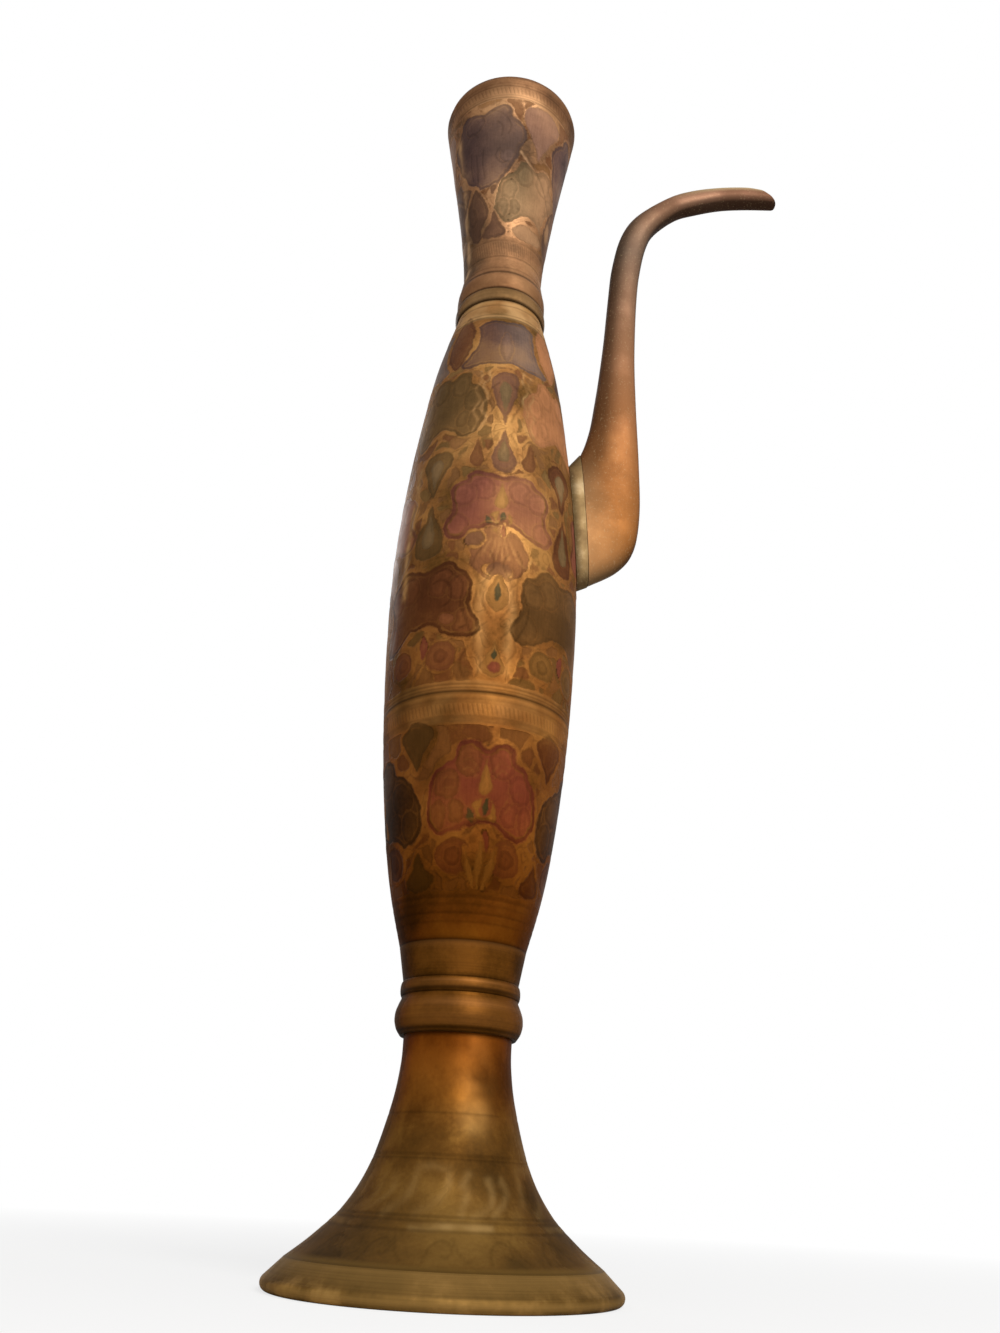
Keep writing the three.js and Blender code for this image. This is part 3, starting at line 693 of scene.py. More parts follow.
    # The fill has faded in clouds and upright streaks, and is rubbed through where hands hold the ewer
    # and where painted highlights and reflections lie
    paint = add(tree, "Mix", {0: petal, 6: tint, 7: inlay_tint}, data_type="RGBA")
    streaks = add(tree, "VectorMath", {0: wrap, 1: STREAKS}, operation="MULTIPLY")
    streaks = add(tree, "TexNoise", {"Vector": streaks, "Scale": 1.0, "Detail": 3}, noise_dimensions="2D")
    streaks = add(tree, "ValToRGB", {0: streaks}, [(0.3, 0.93), (0.7, 1.07)])
    faded = add(tree, "ValToRGB", {0: skin}, [(0.36, 0.8), (0.5, 1.0), (0.66, 1.2)])
    for shade in (faded, streaks):
        paint = add(tree, "Mix", {0: 1.0, 6: paint, 7: shade}, data_type="RGBA", blend_type="MULTIPLY")
    held = add(tree, "ValToRGB", {0: skin}, [(0.45, 0.95), (0.75, 0.65)])
    kept = add(tree, "Math", {0: fill, 1: held}, operation="MULTIPLY")
    line = add(tree, "Math", {0: petal_line, 1: 0.14}, operation="MULTIPLY")
    line = add(tree, "Math", {0: line, 1: brass_line}, operation="MAXIMUM")
    kept = add(tree, "Math", {0: kept, 1: line}, operation="SUBTRACT", use_clamp=True)
    kept = add(tree, "Math", {0: kept, 1: lacquer}, operation="MULTIPLY")
    kept = add(tree, "Math", {0: kept, 1: polished}, operation="SUBTRACT", use_clamp=True)
    colour = add(tree, "Mix", {0: kept, 6: metal, 7: paint}, data_type="RGBA")

    # Dirt sits in the cut lines, and fainter in the curls and the hatching. The marks add dirt at the
    # seams and, on some pieces, painted shade on the side towards the spout
    marks = add(tree, "Math", {0: curl, 1: stroke}, operation="MAXIMUM")
    cuts = add(tree, "Math", {0: marks, 1: 0.6}, operation="MULTIPLY")
    for groove in (lines, dirt_and_shade):
        cuts = add(tree, "Math", {0: cuts, 1: groove}, operation="MAXIMUM")
    grime_and_shade = add(tree, "ValToRGB", {0: cuts}, [(0.05, 1.0), (1.0, 0.27)])
    for shade in (edge, outline, nested, grime_and_shade):
        colour = add(tree, "Mix", {0: 1.0, 6: colour, 7: shade}, data_type="RGBA", blend_type="MULTIPLY")
    colour = toned_by_height(tree, place, colour, by_height)
    relief = sunk
    for mark, height in ((marks, -0.5), (line, 0.3), (grain, 0.15)):
        relief = add(tree, "Math", {0: mark, 1: height, 2: relief}, operation="MULTIPLY_ADD")
    old_metal(tree, colour, skin, dirt_and_shade, roughness, relief, 0.16, kept)
    return material


drop, leaf, oval = mirrored(DROP), mirrored(LEAF), mirrored(OVAL)
foot_bottom, foot_top = levels("foot_bell")
foot_line = profile(
    FOOT_SHARES, FOOT_NECK_RADIUS, BASE_SHOULDER_RADIUS - SEAM_CHAMFER, foot_bottom, foot_top, 24,
)
foot_cut = Engraving(straight(foot_line[::2].tolist(), ROW_STEP), ENGRAVED_SEGMENTS, 11, LEAF_GROUPS)
foot_angle, foot_level = foot_cut.angle, foot_cut.level
foot_cut.polish(0, 0, RUBBED_STROKES, 0.24, 1.5)
foot_cut.polish(0, 22.6, [RUBBED_BAND], 0.4, 1.1)
foot_cut.stroke(0, 0, FOOT_SCROLLS, 0.3, 3 * LEAF_GROUPS)
foot_cut.rings({level: 0.4 for level in FOOT_LINES})
foot_cut.polished *= 0.25 + 0.75 * np.exp(-(foot_angle / 0.7) ** 2)
# A painted highlight up the plain neck, right of the front
aside = (foot_angle - math.radians(NECK_HIGHLIGHT_TURN)) * foot_cut.radius / NECK_HIGHLIGHT_WIDTH
neck_highlight = NECK_HIGHLIGHT_MOST * np.exp(-aside ** 2) * ramp(foot_level, 44, 14)
foot_cut.polished = np.maximum(foot_cut.polished, neck_highlight)
foot_cut.worked = np.clip(1 - np.abs(foot_level - 34) / 12, 0, 0.4) * np.ones_like(foot_cut.cell)
foot_inside = [[radius - FOOT_WALL, level] for radius, level in foot_line[::6]]
foot_inside = [point for point in foot_inside if foot_bottom < point[1] < foot_top - FOOT_WEB]
foot_inside = [
    [STUD_HOLE_RADIUS, foot_top], [STUD_HOLE_RADIUS, foot_top - FOOT_WEB],
    [FOOT_NECK_RADIUS - FOOT_WALL, foot_top - FOOT_WEB],
] + foot_inside[::-1] + [[FOOT_INNER_RADIUS, foot_bottom]]
foot_marks = foot_cut.marks(0)
# Painted shade on the side towards the spout, and a painted highlight on the lower front of the flare
foot_marks["dirt_and_shade"] = FOOT_SIDE_SHADE * shaded_side(foot_angle, 0.6, 0.3) * ramp(foot_level, 36, 16)
foot_marks["wear_and_sheen"] = FOOT_PAINTED_HIGHLIGHT * np.exp(-(foot_angle / 0.5) ** 2) * ramp(foot_level, 46, -12)
# Cast brass, turned and shallowly engraved: dull brown to olive, warmer towards its neck, with the
# strokes and the ring where the cloth goes over it worn bright
engraved_olive_brass = engraved_brass("engraved_olive_brass", ("#3e2b13", "#5c401c", "#80602f"), 0.5, 300, [
    (0.03, "#ffffff"), (0.085, "#fff0d8"), (0.105, "#f8d0a0"), (0.14, "#e6a66a"),
], "#b0905c")
foot_cut.finish(
    "foot_bell", engraved_olive_brass, foot_inside, [foot_bottom, foot_top], foot_marks, WIDE_DIRT_REACH,
)

# Washer, nut and stud
# Plain machined brass fittings inside the foot, never polished. The nut draws the stud, the knop and
# the body's socket down onto the foot's web, and only shows from underneath.
# Machined brass gives a flat yellow with tool rings, brighter than the pieces that hands darken
machined_brass = turned_brass("machined_brass", ("#7d6233", "#a8874a", "#c4a566"), 0.4)
for node in ("foot_washer", "foot_nut", "joint_stud", "body_sleeve", "neck_nipple"):
    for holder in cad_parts[node].material_slots:
        holder.material = machined_brass

# Knop and fillet ring
# A thick turned bead and a thin one above it, clamped between the foot and the body. Their crests are
# pale where they stand proud, a painted highlight lies across the front of each bead above its
# crest, painted shade darkens the side towards the spout, and dark dirt sits in the grooves between them.
KNOP_SHARES = (
    (0, 0), (0.07, 0.3), (0.18, 0.68), (0.34, 0.95), (0.46, 1), (0.62, 0.9), (0.8, 0.54), (0.93, 0.22),
    (1, 0.12),
)
KNOP_EDGE_RADIUS = 22.5
KNOP_RADIUS = 25.0
KNOP_BORE_RADIUS = 13.0
KNOP_GROOVE_RISE = 1.2
# Painted shade on the side towards the spout, and a painted highlight band: its strength, and its place and
# reach as shares of a bead's height
KNOP_SIDE_SHADE = 0.35
KNOP_PAINTED_HIGHLIGHT = 0.8
HIGHLIGHT_HEIGHT = 0.72
HIGHLIGHT_REACH = 0.14
FILLET_EDGE_RADIUS = 22.8
FILLET_RADIUS = 23.6


def bead(bottom, top, edge_radius, crest_radius, steps=28):
    """The round crest of a turned bead, from its lower edge to its upper edge."""
    turns = np.linspace(0, np.pi, steps + 1)
    radii = edge_radius + (crest_radius - edge_radius) * np.sin(turns)
    return np.stack([radii, bottom + (top - bottom) * (1 - np.cos(turns)) / 2], -1).tolist()


# Turned brass that is touched often: deep brown in its hollows, with warm copper on its crests and in its
# painted highlight
turned_warm_brass = turned_brass(
    "turned_warm_brass", ("#2e1b05", "#482a09", "#6e4316"), 0.45, crest="#84552a",
)
knop_crest = profile(KNOP_SHARES, KNOP_EDGE_RADIUS, KNOP_RADIUS, *levels("knop"), 6).tolist()
fillet_crest = bead(*levels("fillet_ring"), FILLET_EDGE_RADIUS, FILLET_RADIUS)
for node, crest, bore in (
    ("knop", knop_crest, KNOP_BORE_RADIUS), ("fillet_ring", fillet_crest, STUD_HOLE_RADIUS),
):
    bottom, top = levels(node)
    angle = angles(PLAIN_SEGMENTS)
    height = (np.array(crest)[:, 1:] - bottom) / (top - bottom)
    # A painted highlight band above each crest, strongest at the front, and painted shade towards the spout
    facing = np.clip(np.cos(angle - 0.25), 0.1, 1)
    marks = {
        "wear_and_sheen": np.exp(-((height - HIGHLIGHT_HEIGHT) / HIGHLIGHT_REACH) ** 2) * KNOP_PAINTED_HIGHLIGHT * facing,
        "dirt_and_shade": KNOP_SIDE_SHADE * shaded_side(angle, 0.7, 0.3) * np.ones_like(height),
    }
    turned(
        node, turned_warm_brass, crest + [[bore, top], [bore, bottom]], PLAIN_SEGMENTS,
        [bottom, bottom + KNOP_GROOVE_RISE], marks=marks,
    )

# Body socket
# A turned cup that closes the lower end of the body and takes the stud. Only its plain cone shows,
# between two dark grooves, and its spigot stands up inside the body.
SOCKET_BOTTOM_RADIUS = 22.7
SOCKET_TOP_RADIUS = 25.2
SPIGOT_WALL = 2.0
SOCKET_FLOOR = 3.5
SOCKET_CENTRE_RADIUS = 0.4
STUD_ROOM = 9.8
SPIGOT_RADII = (23.0, 25.1)

socket_bottom, spigot_top = levels("body_socket")
body_bottom, body_seam = levels("lower_body")
stud_end = socket_bottom + STUD_ROOM
socket_outline = straight([
    [SOCKET_BOTTOM_RADIUS, socket_bottom],
    [SOCKET_TOP_RADIUS, body_bottom],
], 1.0) + [
    [SPIGOT_RADII[0], body_bottom], [SPIGOT_RADII[1], spigot_top],
    [SPIGOT_RADII[1] - SPIGOT_WALL, spigot_top], [SPIGOT_RADII[0] - SPIGOT_WALL, stud_end + SOCKET_FLOOR],
    [SOCKET_CENTRE_RADIUS, stud_end + SOCKET_FLOOR], [SOCKET_CENTRE_RADIUS, stud_end],
    [STUD_HOLE_RADIUS, stud_end], [STUD_HOLE_RADIUS, socket_bottom],
]
turned("body_socket", turned_warm_brass, socket_outline, PLAIN_SEGMENTS, [socket_bottom, body_bottom])

# Lower body shell
# Raised brass sheet, engraved and filled: tall palmettes stand in every second column, with drops and
# smaller palmettes between them, above plain turned rings. The hatched band at its top hides the seam.
BODY_WALL = 1.8
BODY_TOP_RADIUS = 22.4
INNER_STEP = 12
COLUMNS = 4
COLUMN_TURN = 7.5
HALF_PITCH = 180 / COLUMNS
BESIDE = COLUMN_TURN + HALF_PITCH
OPPOSITE = 2 * HALF_PITCH
BOTH_SIDES = (-1, 1)
BODY_SIDE_SHADE = 0.3
PLAIN_BAND_POLISH = 0.3
BODY_SHARES = (
    (0.079, 0.736), (0.186, 0.863), (0.3235, 0.954), (0.492, 1), (0.63, 0.958), (0.767, 0.852),
    (0.89, 0.716),
)
PALMETTE = [
    (0, 15.5), (5, 17.3), (10.5, 18.2), (14.5, 16.8), (16.5, 14.2), (20, 12.8), (23, 9), (22.6, 3),
    (21.6, -2), (23, -6), (25.8, -10), (25.8, -14), (22.5, -17.3), (16, -17), (10.5, -14.5),
    (6, -11.5), (0, -11),
]
ROUND_PALMETTE = [
    (0, 16), (4.5, 18.5), (9, 19), (12.5, 17), (14, 12.5), (18, 10.5), (22, 6), (24, 0), (24.4, -6),
    (23, -12), (19, -16.5), (13, -17.5), (8, -14.5), (3, -12), (0, -11.5),
]
# Width and height of each petal, how far right and up of the middle it is, and its lean in degrees
PETALS = ((11.5, 13, 8.5, 8.5, 12), (10.5, 12, 17.5, 5.5, 30), (10.5, 12.5, 20, -10.5, 20))
ROUND_PETALS = (
    (12, 12.5, 7, 11.5, 8), (10.5, 12.5, 16, 2, -12), (8, 9, 11.5, -8, 20), (7.5, 12, 19, -9.5, 0),
)
PETAL_ARCS = (
    ((9, 0), (12, 4.5), (16.5, 5)), ((9, -3.5), (12, 0.5), (16, 1.2)),
    ((9.2, -7.5), (11.5, -4), (15, -3)), ((3, 8), (6.5, 12.5), (10, 11)), ((3.5, 5), (6.5, 9), (9, 8)),
)
ROSE = "#7e4a3b"
PALE_ROSE = "#8c5a42"
RED = "#80463a"
RED_BROWN = "#774a32"
MAROON = "#55321f"
DARK = "#3a2a1e"
OLIVE = "#5e4629"
GREY_OLIVE = "#6e583c"
TEAL = "#454836"
TAN = "#9a7040"
GROUND = "#795331"
BROWN = "#6d452a"
EYE = (
    (oval, (11, 13, 0, -9, 0), TAN), (drop, (5.5, 14, 0, -1.5, 0), TAN),
    (leaf, (3, 6, -4.5, -12, -20), TEAL), (leaf, (2.6, 6, 0.5, -9, 8), TEAL),
)
LOWER_LINES = {
    125.5: 0.35, 129: 0.45, 131.8: 0.35, 134.8: 0.6, 203.4: 0.6, 205: 0.6, 211.4: 0.4, 212.8: 0.4,
}


def palmette(
    cut, turn, level, colour, lobes, petals, size=(1, 1), copies=None, petal=1.0, contour=1, eye=EYE,
):
    """One lobed palmette with its petals, and the eye and drops on the stem below it."""
    cut.fill(turn, level, mirrored(lobes) * size, colour, copies, contour=contour)
    for wide, high, right, up, lean in petals:
        for side in BOTH_SIDES:
            lobe = sized(oval, wide, high, side * right, up, side * lean)
            cut.set_in(turn, level, lobe * size, petal, copies)
    for figure, place, shade in eye:
        cut.set_in(turn, level, sized(figure, *place) * size, shade, copies)


def rosettes(cut, turn, level, colour, spread, size):
    """Two ringed rosettes under a palmette, with its hanging drop between them."""
    for side in BOTH_SIDES:
        cut.fill(turn, level, sized(oval, size, size, side * spread), colour)
        cut.set_in(turn, level, sized(oval, size * 0.5, size * 0.5, side * spread), 0.85)
    cut.fill(turn, level, sized(leaf, 3.2, 10, 1.5), RED, gap=0.9)


def shell_outlines(bottom, top):
    """The outer rows of a body shell from bottom to top, and its inner wall from top to bottom."""
    walls = []
    for start, end, step, wall in ((bottom, top, ROW_STEP, 0), (top, bottom, INNER_STEP, BODY_WALL)):
        row_levels = np.linspace(start, end, round((top - bottom) / step) + 1)
        radii = np.interp(row_levels, body_line[:, 1], body_line[:, 0]) - wall
        walls.append(np.stack([radii, row_levels], -1).tolist())
    return walls


body_top = levels("upper_body")[1]
body_radius, body_height = widest("upper_body"), body_top - body_bottom
body_line = smooth([
    (SOCKET_TOP_RADIUS, body_bottom),
    *((wide * body_radius, body_bottom + rise * body_height) for rise, wide in BODY_SHARES),
    (BODY_TOP_RADIUS, body_top),
], 30)
lower_rows, lower_inside = shell_outlines(body_bottom, body_seam)
lower_cut = Engraving(lower_rows, ENGRAVED_SEGMENTS, 21, COLUMNS)
palmette(lower_cut, COLUMN_TURN, 175, RED, ROUND_PALMETTE, ROUND_PETALS, (0.96, 1.04), 2, (RED_BROWN, RED))
palmette(
    lower_cut, COLUMN_TURN + OPPOSITE, 172, DARK, ROUND_PALMETTE, ROUND_PETALS, (1.24, 1.04), 2,
    contour=0.5,
)
lower_cut.polish(COLUMN_TURN, 175, PETAL_ARCS, 0.2, 0.5, 2, BOTH_SIDES)
rosettes(lower_cut, COLUMN_TURN, 149.5, [RED_BROWN, MAROON], 10.5, 14)
lower_cut.fill(BESIDE, 203, sized(drop, 17, 19.5, lean=180), [MAROON, OLIVE])
lower_cut.fill(BESIDE, 137.5, sized(drop, 12, 13.5), [MAROON, OLIVE])
for lean, height in ((0, 19), (14, 16), (-14, 16)):
    lower_cut.fill(COLUMN_TURN, 137.5, sized(leaf, 2.6, height, lean / 7, 0, lean), TAN, gap=1.0)
lower_cut.keep(COLUMN_TURN, 137, sized(leaf, 18, 28))
lower_cut.fill_ground(136.2, 202, [GROUND, BROWN])
lower_cut.rings(LOWER_LINES)
lower_cut.tick_band(205.8, 210.8)
plain = np.minimum(ramp(lower_cut.level, 202, 2), PLAIN_BAND_POLISH)
lower_cut.polished = np.maximum(lower_cut.polished, plain)
lower_marks = lower_cut.marks()
# Painted shade on the side towards the spout, fading out up to the hatched band
lower_marks["dirt_and_shade"] = BODY_SIDE_SHADE * shaded_side(lower_cut.angle, 0.7, 0.4) * ramp(lower_cut.level, 205, -20)
# Raised and engraved sheet brass: golden brown rims around dull rose, maroon and olive lacquer, which
# age has thinned to a stain in the sunk cells, darker towards the foot
engraved_warm_brass = engraved_brass("engraved_warm_brass", ("#583d1d", "#855a31", "#a27643"), 0.5, 260, [
    (0.2, "#ac8844"), (0.25, "#c6a46c"), (0.3, "#dabe98"), (0.38, "#ecd8b8"), (0.55, "#ffffff"),
], "#b68e5e")
lower_cut.finish("lower_body", engraved_warm_brass, lower_inside, [body_bottom, body_seam], lower_marks)

# Upper body shell
# The taller shell, of the same raised and engraved sheet. Palmettes alternate between the columns at
# several heights, joined by pairs of drops, with a skirt and slender stems under the lowest row.
DOME = [
    (0, 18.5), (7, 19.5), (12, 17.5), (15.5, 13.5), (18.5, 7.5), (20.5, 0), (22.2, -7), (22.8, -12.5),
    (20, -15.5), (13, -15), (6, -14.2), (0, -14),
]
VASE_CURLS = (
    ((4, 281), (2, 275), (5, 268), (7, 262), (5.5, 255), (2, 249)),
    ((8, 283), (11, 276), (9.5, 269), (5, 263)),
    ((13, 277), (9, 270), (8.5, 262), (10, 254), (7, 246), (2.5, 240)),
    ((4, 247), (8, 242), (9, 235), (5.5, 229), (7, 222)),
    ((12, 263), (14.5, 255), (12.5, 247), (9, 240)),
    ((11, 236), (14, 229), (12, 222)),
    ((3, 381), (7, 376), (8, 369), (5, 362), (3, 356)),
    ((3, 348), (6, 342), (6.5, 335), (9, 330)),
)
WAVES = (
    ((9, 390), (8, 384), (11, 378), (8.5, 371), (11.5, 364), (9, 357), (12, 350)),
    ((12.5, 388), (11.5, 382), (14.5, 376), (12, 369), (15, 362), (12.5, 355), (15, 349)),
)
SIDE_LINES = (
    ((6, 14), (11, 15), (14, 12), (17, 9.5), (19, 6), (18, 1), (18, -4), (20.5, -9), (21, -12), (18, -14)),
    ((-6, 14), (-12, 14.5), (-16, 10)), ((5, 9), (9, 10), (13, 6), (13.5, 0), (10, -3)),
)
STEMS = (
    ((0.8, 297), (0.4, 288), (1.6, 277)), ((2.4, 298), (1.8, 289), (4.2, 278)),
    ((4, 297), (3.6, 290), (7, 281)), ((8, 279), (12, 276), (15, 280)),
)
SIDE_STEMS = (((5, 270), (6.5, 250), (5, 226)),)
# A painted reflection: a pale upright streak near the left edge of the upper shell
UPPER_LEFT_REFLECTION = ((0, 334), (1, 314), (-1, 292), (0, 266))
SHOULDER_POLISH = 0.6
UPPER_LINES = {217.4: 0.55, 219: 0.55, 430.5: 1, 433: 0.5, 441.5: 0.6}
ROSE_BROWN = "#6f4c39"
DOME_PURPLE = "#4a3530"
DOME_GREY = "#65534a"
DARK_OLIVE = "#584026"
COPPER = "#a26c46"
SKIRT = "#80553a"
OLIVE_GROUND = "#6d512e"


def hourglass(cut, turn, low, waist, high, colour, half_width):
    """Two drops that meet point to point between two palmettes, each with a drop set in."""
    for end, lean, wide, inner_wide, middle in ((high, 180, 2, 0.9, 0.82), (low, 0, 1.8, 0.8, 0.8)):
        rise, reach = end - waist, abs(end - waist)
        cut.fill(turn, waist, sized(drop, half_width * wide, reach - 0.8, 0, rise, lean), colour)
        inner = sized(drop, half_width * inner_wide, reach * 0.6, 0, rise * middle, lean)
        cut.set_in(turn, waist, inner, GREY_OLIVE)


upper_rows, upper_inside = shell_outlines(body_seam, body_top)
upper_cut = Engraving(upper_rows, ENGRAVED_SEGMENTS, 31, COLUMNS)
palmette(upper_cut, COLUMN_TURN, 306, (ROSE, PALE_ROSE), PALMETTE, PETALS)
palmette(upper_cut, BESIDE, 258, DARK_OLIVE, PALMETTE, PETALS, (1.0, 1.04), 2, 1.2, 0.25, ())
palmette(upper_cut, BESIDE + OPPOSITE, 258, MAROON, PALMETTE, PETALS, (1.0, 1.04), 2, 1.3, 0.8, ())
palmette(
    upper_cut, BESIDE, 367, [COPPER, OLIVE], ROUND_PALMETTE, ROUND_PETALS, (0.84, 1.16),
    contour=0.5, eye=(),
)
upper_cut.fill(COLUMN_TURN, 280.5, sized(oval, 27, 28), SKIRT, gap=0.7, contour=0)
upper_cut.fill(COLUMN_TURN, 287.5, sized(oval, 8.5, 8, -11), ROSE_BROWN, gap=0.7, contour=0)
upper_cut.fill(COLUMN_TURN, 288.5, sized(leaf, 3, 8, 1.5), RED, gap=0.5, contour=0)
rosettes(upper_cut, BESIDE, 232, [OLIVE_GROUND, RED_BROWN], 10, 13)
upper_cut.set_in(BESIDE + OPPOSITE, 258, sized(oval, 7, 5, 12, -9, 20), RED_BROWN, 2)
hourglass(upper_cut, COLUMN_TURN, 325.5, 352, 388, ROSE_BROWN, 6.8)
hourglass(upper_cut, BESIDE, 280, 312, 340, [MAROON, OLIVE], 8.5)
upper_cut.fill(COLUMN_TURN, 408, mirrored(DOME), (DOME_PURPLE, DOME_GREY), contour=0.5)
upper_cut.set_in(COLUMN_TURN, 396, sized(leaf, 6, 22), 1.2)
upper_cut.fill(BESIDE, 394, sized(leaf, 15, 40), [COPPER, MAROON])
upper_cut.fill(COLUMN_TURN, 272, sized(oval, 12, 7), ROSE_BROWN, gap=0.6, contour=0)
upper_cut.fill(COLUMN_TURN, 252, sized(leaf, 10, 17), TAN)
upper_cut.fill(COLUMN_TURN, 223, sized(drop, 10, 17), TAN)
upper_cut.set_in(COLUMN_TURN, 257.5, sized(leaf, 2.8, 8.5), TEAL)
upper_cut.set_in(COLUMN_TURN, 224.5, sized(oval, 5.4, 5, 0.5, 2.6), RED)
upper_cut.set_in(COLUMN_TURN, 230.5, sized(leaf, 2.6, 6.5), TEAL)
for side in BOTH_SIDES:
    upper_cut.fill(COLUMN_TURN, 328, sized(drop, 7, 16, side * 12.5), BROWN)
upper_cut.keep(COLUMN_TURN, 221, sized(oval, 30, 70, 0, 31))
upper_cut.keep(COLUMN_TURN, 352, sized(oval, 13, 44))
upper_cut.fill_ground(220.5, 429, [GROUND, OLIVE_GROUND, BROWN])
upper_cut.stroke(BESIDE + OPPOSITE, 258, SIDE_LINES, 0.5, 2)
upper_cut.stroke(COLUMN_TURN, 0, VASE_CURLS, 0.5, sides=BOTH_SIDES)
# A painted reflection up the left of the upper shell
upper_cut.polish(-54, 0, [UPPER_LEFT_REFLECTION], 0.75, 2.2, 1)
for curves, strength, reach in ((WAVES, 0.4, 0.8), (SIDE_STEMS, 0.45, 2.2), (STEMS, 0.28, 0.6)):
    upper_cut.polish(COLUMN_TURN, 0, curves, strength, reach, sides=BOTH_SIDES)
upper_cut.rings(UPPER_LINES)
for start, fade, most in ((429, 3, SHOULDER_POLISH), (221, -2, PLAIN_BAND_POLISH)):
    plain = np.minimum(ramp(upper_cut.level, start, fade), most)
    upper_cut.polished = np.maximum(upper_cut.polished, plain)
upper_cut.finish("upper_body", engraved_warm_brass, upper_inside, [body_seam, body_top], upper_cut.marks())

# Neck ring
# A turned bead between the body and the mouth, with a spigot that drops into the body's top. It is
# handled least, so it stays dark olive under the mouth's bright flange.
NECK_RING_EDGE_RADIUS = 22.6
NECK_RING_RADIUS = 23.8
NECK_BORE_RADIUS = 17.5
NECK_SPIGOT_RADIUS = 20.2

spigot_bottom, neck_top = levels("neck_ring")
neck_outline = bead(body_top, neck_top, NECK_RING_EDGE_RADIUS, NECK_RING_RADIUS) + [
    [NECK_BORE_RADIUS, neck_top], [NECK_BORE_RADIUS, spigot_bottom],
    [NECK_SPIGOT_RADIUS, spigot_bottom], [NECK_SPIGOT_RADIUS, body_top],
]
# Turned brass out of reach of hands: an even brown with a dull shine and no bright crest
turned_dark_brass = turned_brass("turned_dark_brass", ("#40301b", "#64492b", "#866643"), 0.42)
turned("neck_ring", turned_dark_brass, neck_outline, PLAIN_SEGMENTS, [body_top, neck_top])

# Mouth
# A cast and turned funnel with a flanged throat, screwed onto the neck. It carries three tall
# palmettes and three lower ones, a hatched band under its plain lip and another above its throat.
FLANGE_RADIUS = 23.3
FLANGE_HEIGHT = 10.5
THROAT_RADIUS = 20.9
THROAT_RISE = 11.5
MOUTH_RADIUS = 37.7
MOUTH_WALL = 1.8
MOUTH_LIP_HEIGHT = 5.0
NIPPLE_GRIP = 12.8
MOUTH_SHARES = ((0, 0), (0.161, 0.089), (0.458, 0.363), (0.797, 0.744), (1, 0.976))
MOUTH_SEGMENTS = 288
MOUTH_COLUMNS = 3
MOUTH_TURN = -28
LOW_TURN = MOUTH_TURN + 60
MOUTH_LACQUER = 0.9
MOUTH_PALMETTE = [
    (0, 20.5), (6, 23), (12, 25), (16, 22.5), (17, 18), (20.5, 13), (23.5, 7), (22.5, 1), (20, -3),
    (19, -8), (16, -14), (12.5, -20), (9, -26.5), (4, -28.5), (0, -28.5),
]
MOUTH_STRANDS = (
    ((5, 22), (11, 19), (15.5, 12), (14, 5)), ((8, 14), (11, 10), (10, 4)),
    ((9, -4), (6, -9), (9, -14), (13, -13)), ((-9, -2), (-9.5, -10), (-8, -20)),
    ((-5.5, -4), (-5, -14), (-4.5, -24)), ((-1, -3), (-1.5, -12), (-0.5, -23)),
    ((-13, 8), (-8, 12), (-4, 7)),
)
MOUTH_NOTCH = ((0, 0), (0.3, 0.3))
MOUTH_NOTCH_LEVELS = (495, 499, 503, 507, 530, 534)
MOUTH_VINE = ((6, 549), (14, 539), (22, 528), (27, 518))
MOUTH_VINE_CUT = ((8, 550), (16, 540), (24, 529), (29, 519))
# A painted reflection: a pale upright streak near the left edge of the mouth
MOUTH_LEFT_REFLECTION = ((0, 568), (1, 540), (-0.5, 512), (0, 492), (0, 472))
MOUTH_LINES = {
    469.5: 0.4, 478.6: 0.5, 489.4: 0.5, 491: 0.35, 584.6: 0.6, 586.2: 0.35, 592.6: 0.5, 594.4: 0.3,
}
MOUTH_PURPLE = "#4f3c3b"
MOUTH_GREY = "#5e4a42"
MOUTH_BROWN = "#5a4032"
MOUTH_TAN = "#947050"
MOUTH_ROSE = "#876350"
OLIVE_GREEN = "#6c593f"

mouth_bottom, rim = levels("mouth_funnel")
flange_top = mouth_bottom + FLANGE_HEIGHT
lip_bottom = rim - MOUTH_LIP_HEIGHT
cone_line = profile(
    MOUTH_SHARES, THROAT_RADIUS, MOUTH_RADIUS, flange_top + THROAT_RISE, lip_bottom, 24,
).tolist()
mouth_rows = straight(
    bead(mouth_bottom, flange_top, FLANGE_RADIUS - SEAM_CHAMFER, FLANGE_RADIUS)[:-1] + cone_line[::3]
    + [[MOUTH_RADIUS, (lip_bottom + rim) / 2], [MOUTH_RADIUS - SEAM_CHAMFER, rim]], ROW_STEP,
)
mouth_cut = Engraving(mouth_rows, MOUTH_SEGMENTS, 41, MOUTH_COLUMNS)
mouth_cut.fill(MOUTH_TURN, 555, mirrored(MOUTH_PALMETTE), (MOUTH_PURPLE, MOUTH_GREY), contour=0.45)
mouth_cut.set_in(MOUTH_TURN, 545.5, sized(oval, 9, 9, 13.5), 1.2)
mouth_cut.set_in(MOUTH_TURN, 571, sized(oval, 13, 12, -6, 0, -25), 1.0)
mouth_cut.fill(MOUTH_TURN + 12.5, 523, sized(oval, 6, 6), MOUTH_BROWN)
mouth_cut.fill(LOW_TURN, 497, sized(oval, 19, 10), MOUTH_TAN, contour=0)
for turn, colour, copies, contour in (
    (LOW_TURN, (OLIVE_GREEN, MOUTH_TAN), 2, 0.6), (MOUTH_TURN - 60, MOUTH_BROWN, 1, 0.3),
):
    palmette(
        mouth_cut, turn, 521, colour, ROUND_PALMETTE, ROUND_PETALS, (0.86, 1.12), copies,
        contour=contour, eye=(),
    )
mouth_cut.fill(MOUTH_TURN - 15, 492, sized(leaf, 15, 36), MOUTH_BROWN)
mouth_cut.fill(MOUTH_TURN + 11, 491.5, sized(drop, 12, 17), MOUTH_BROWN)
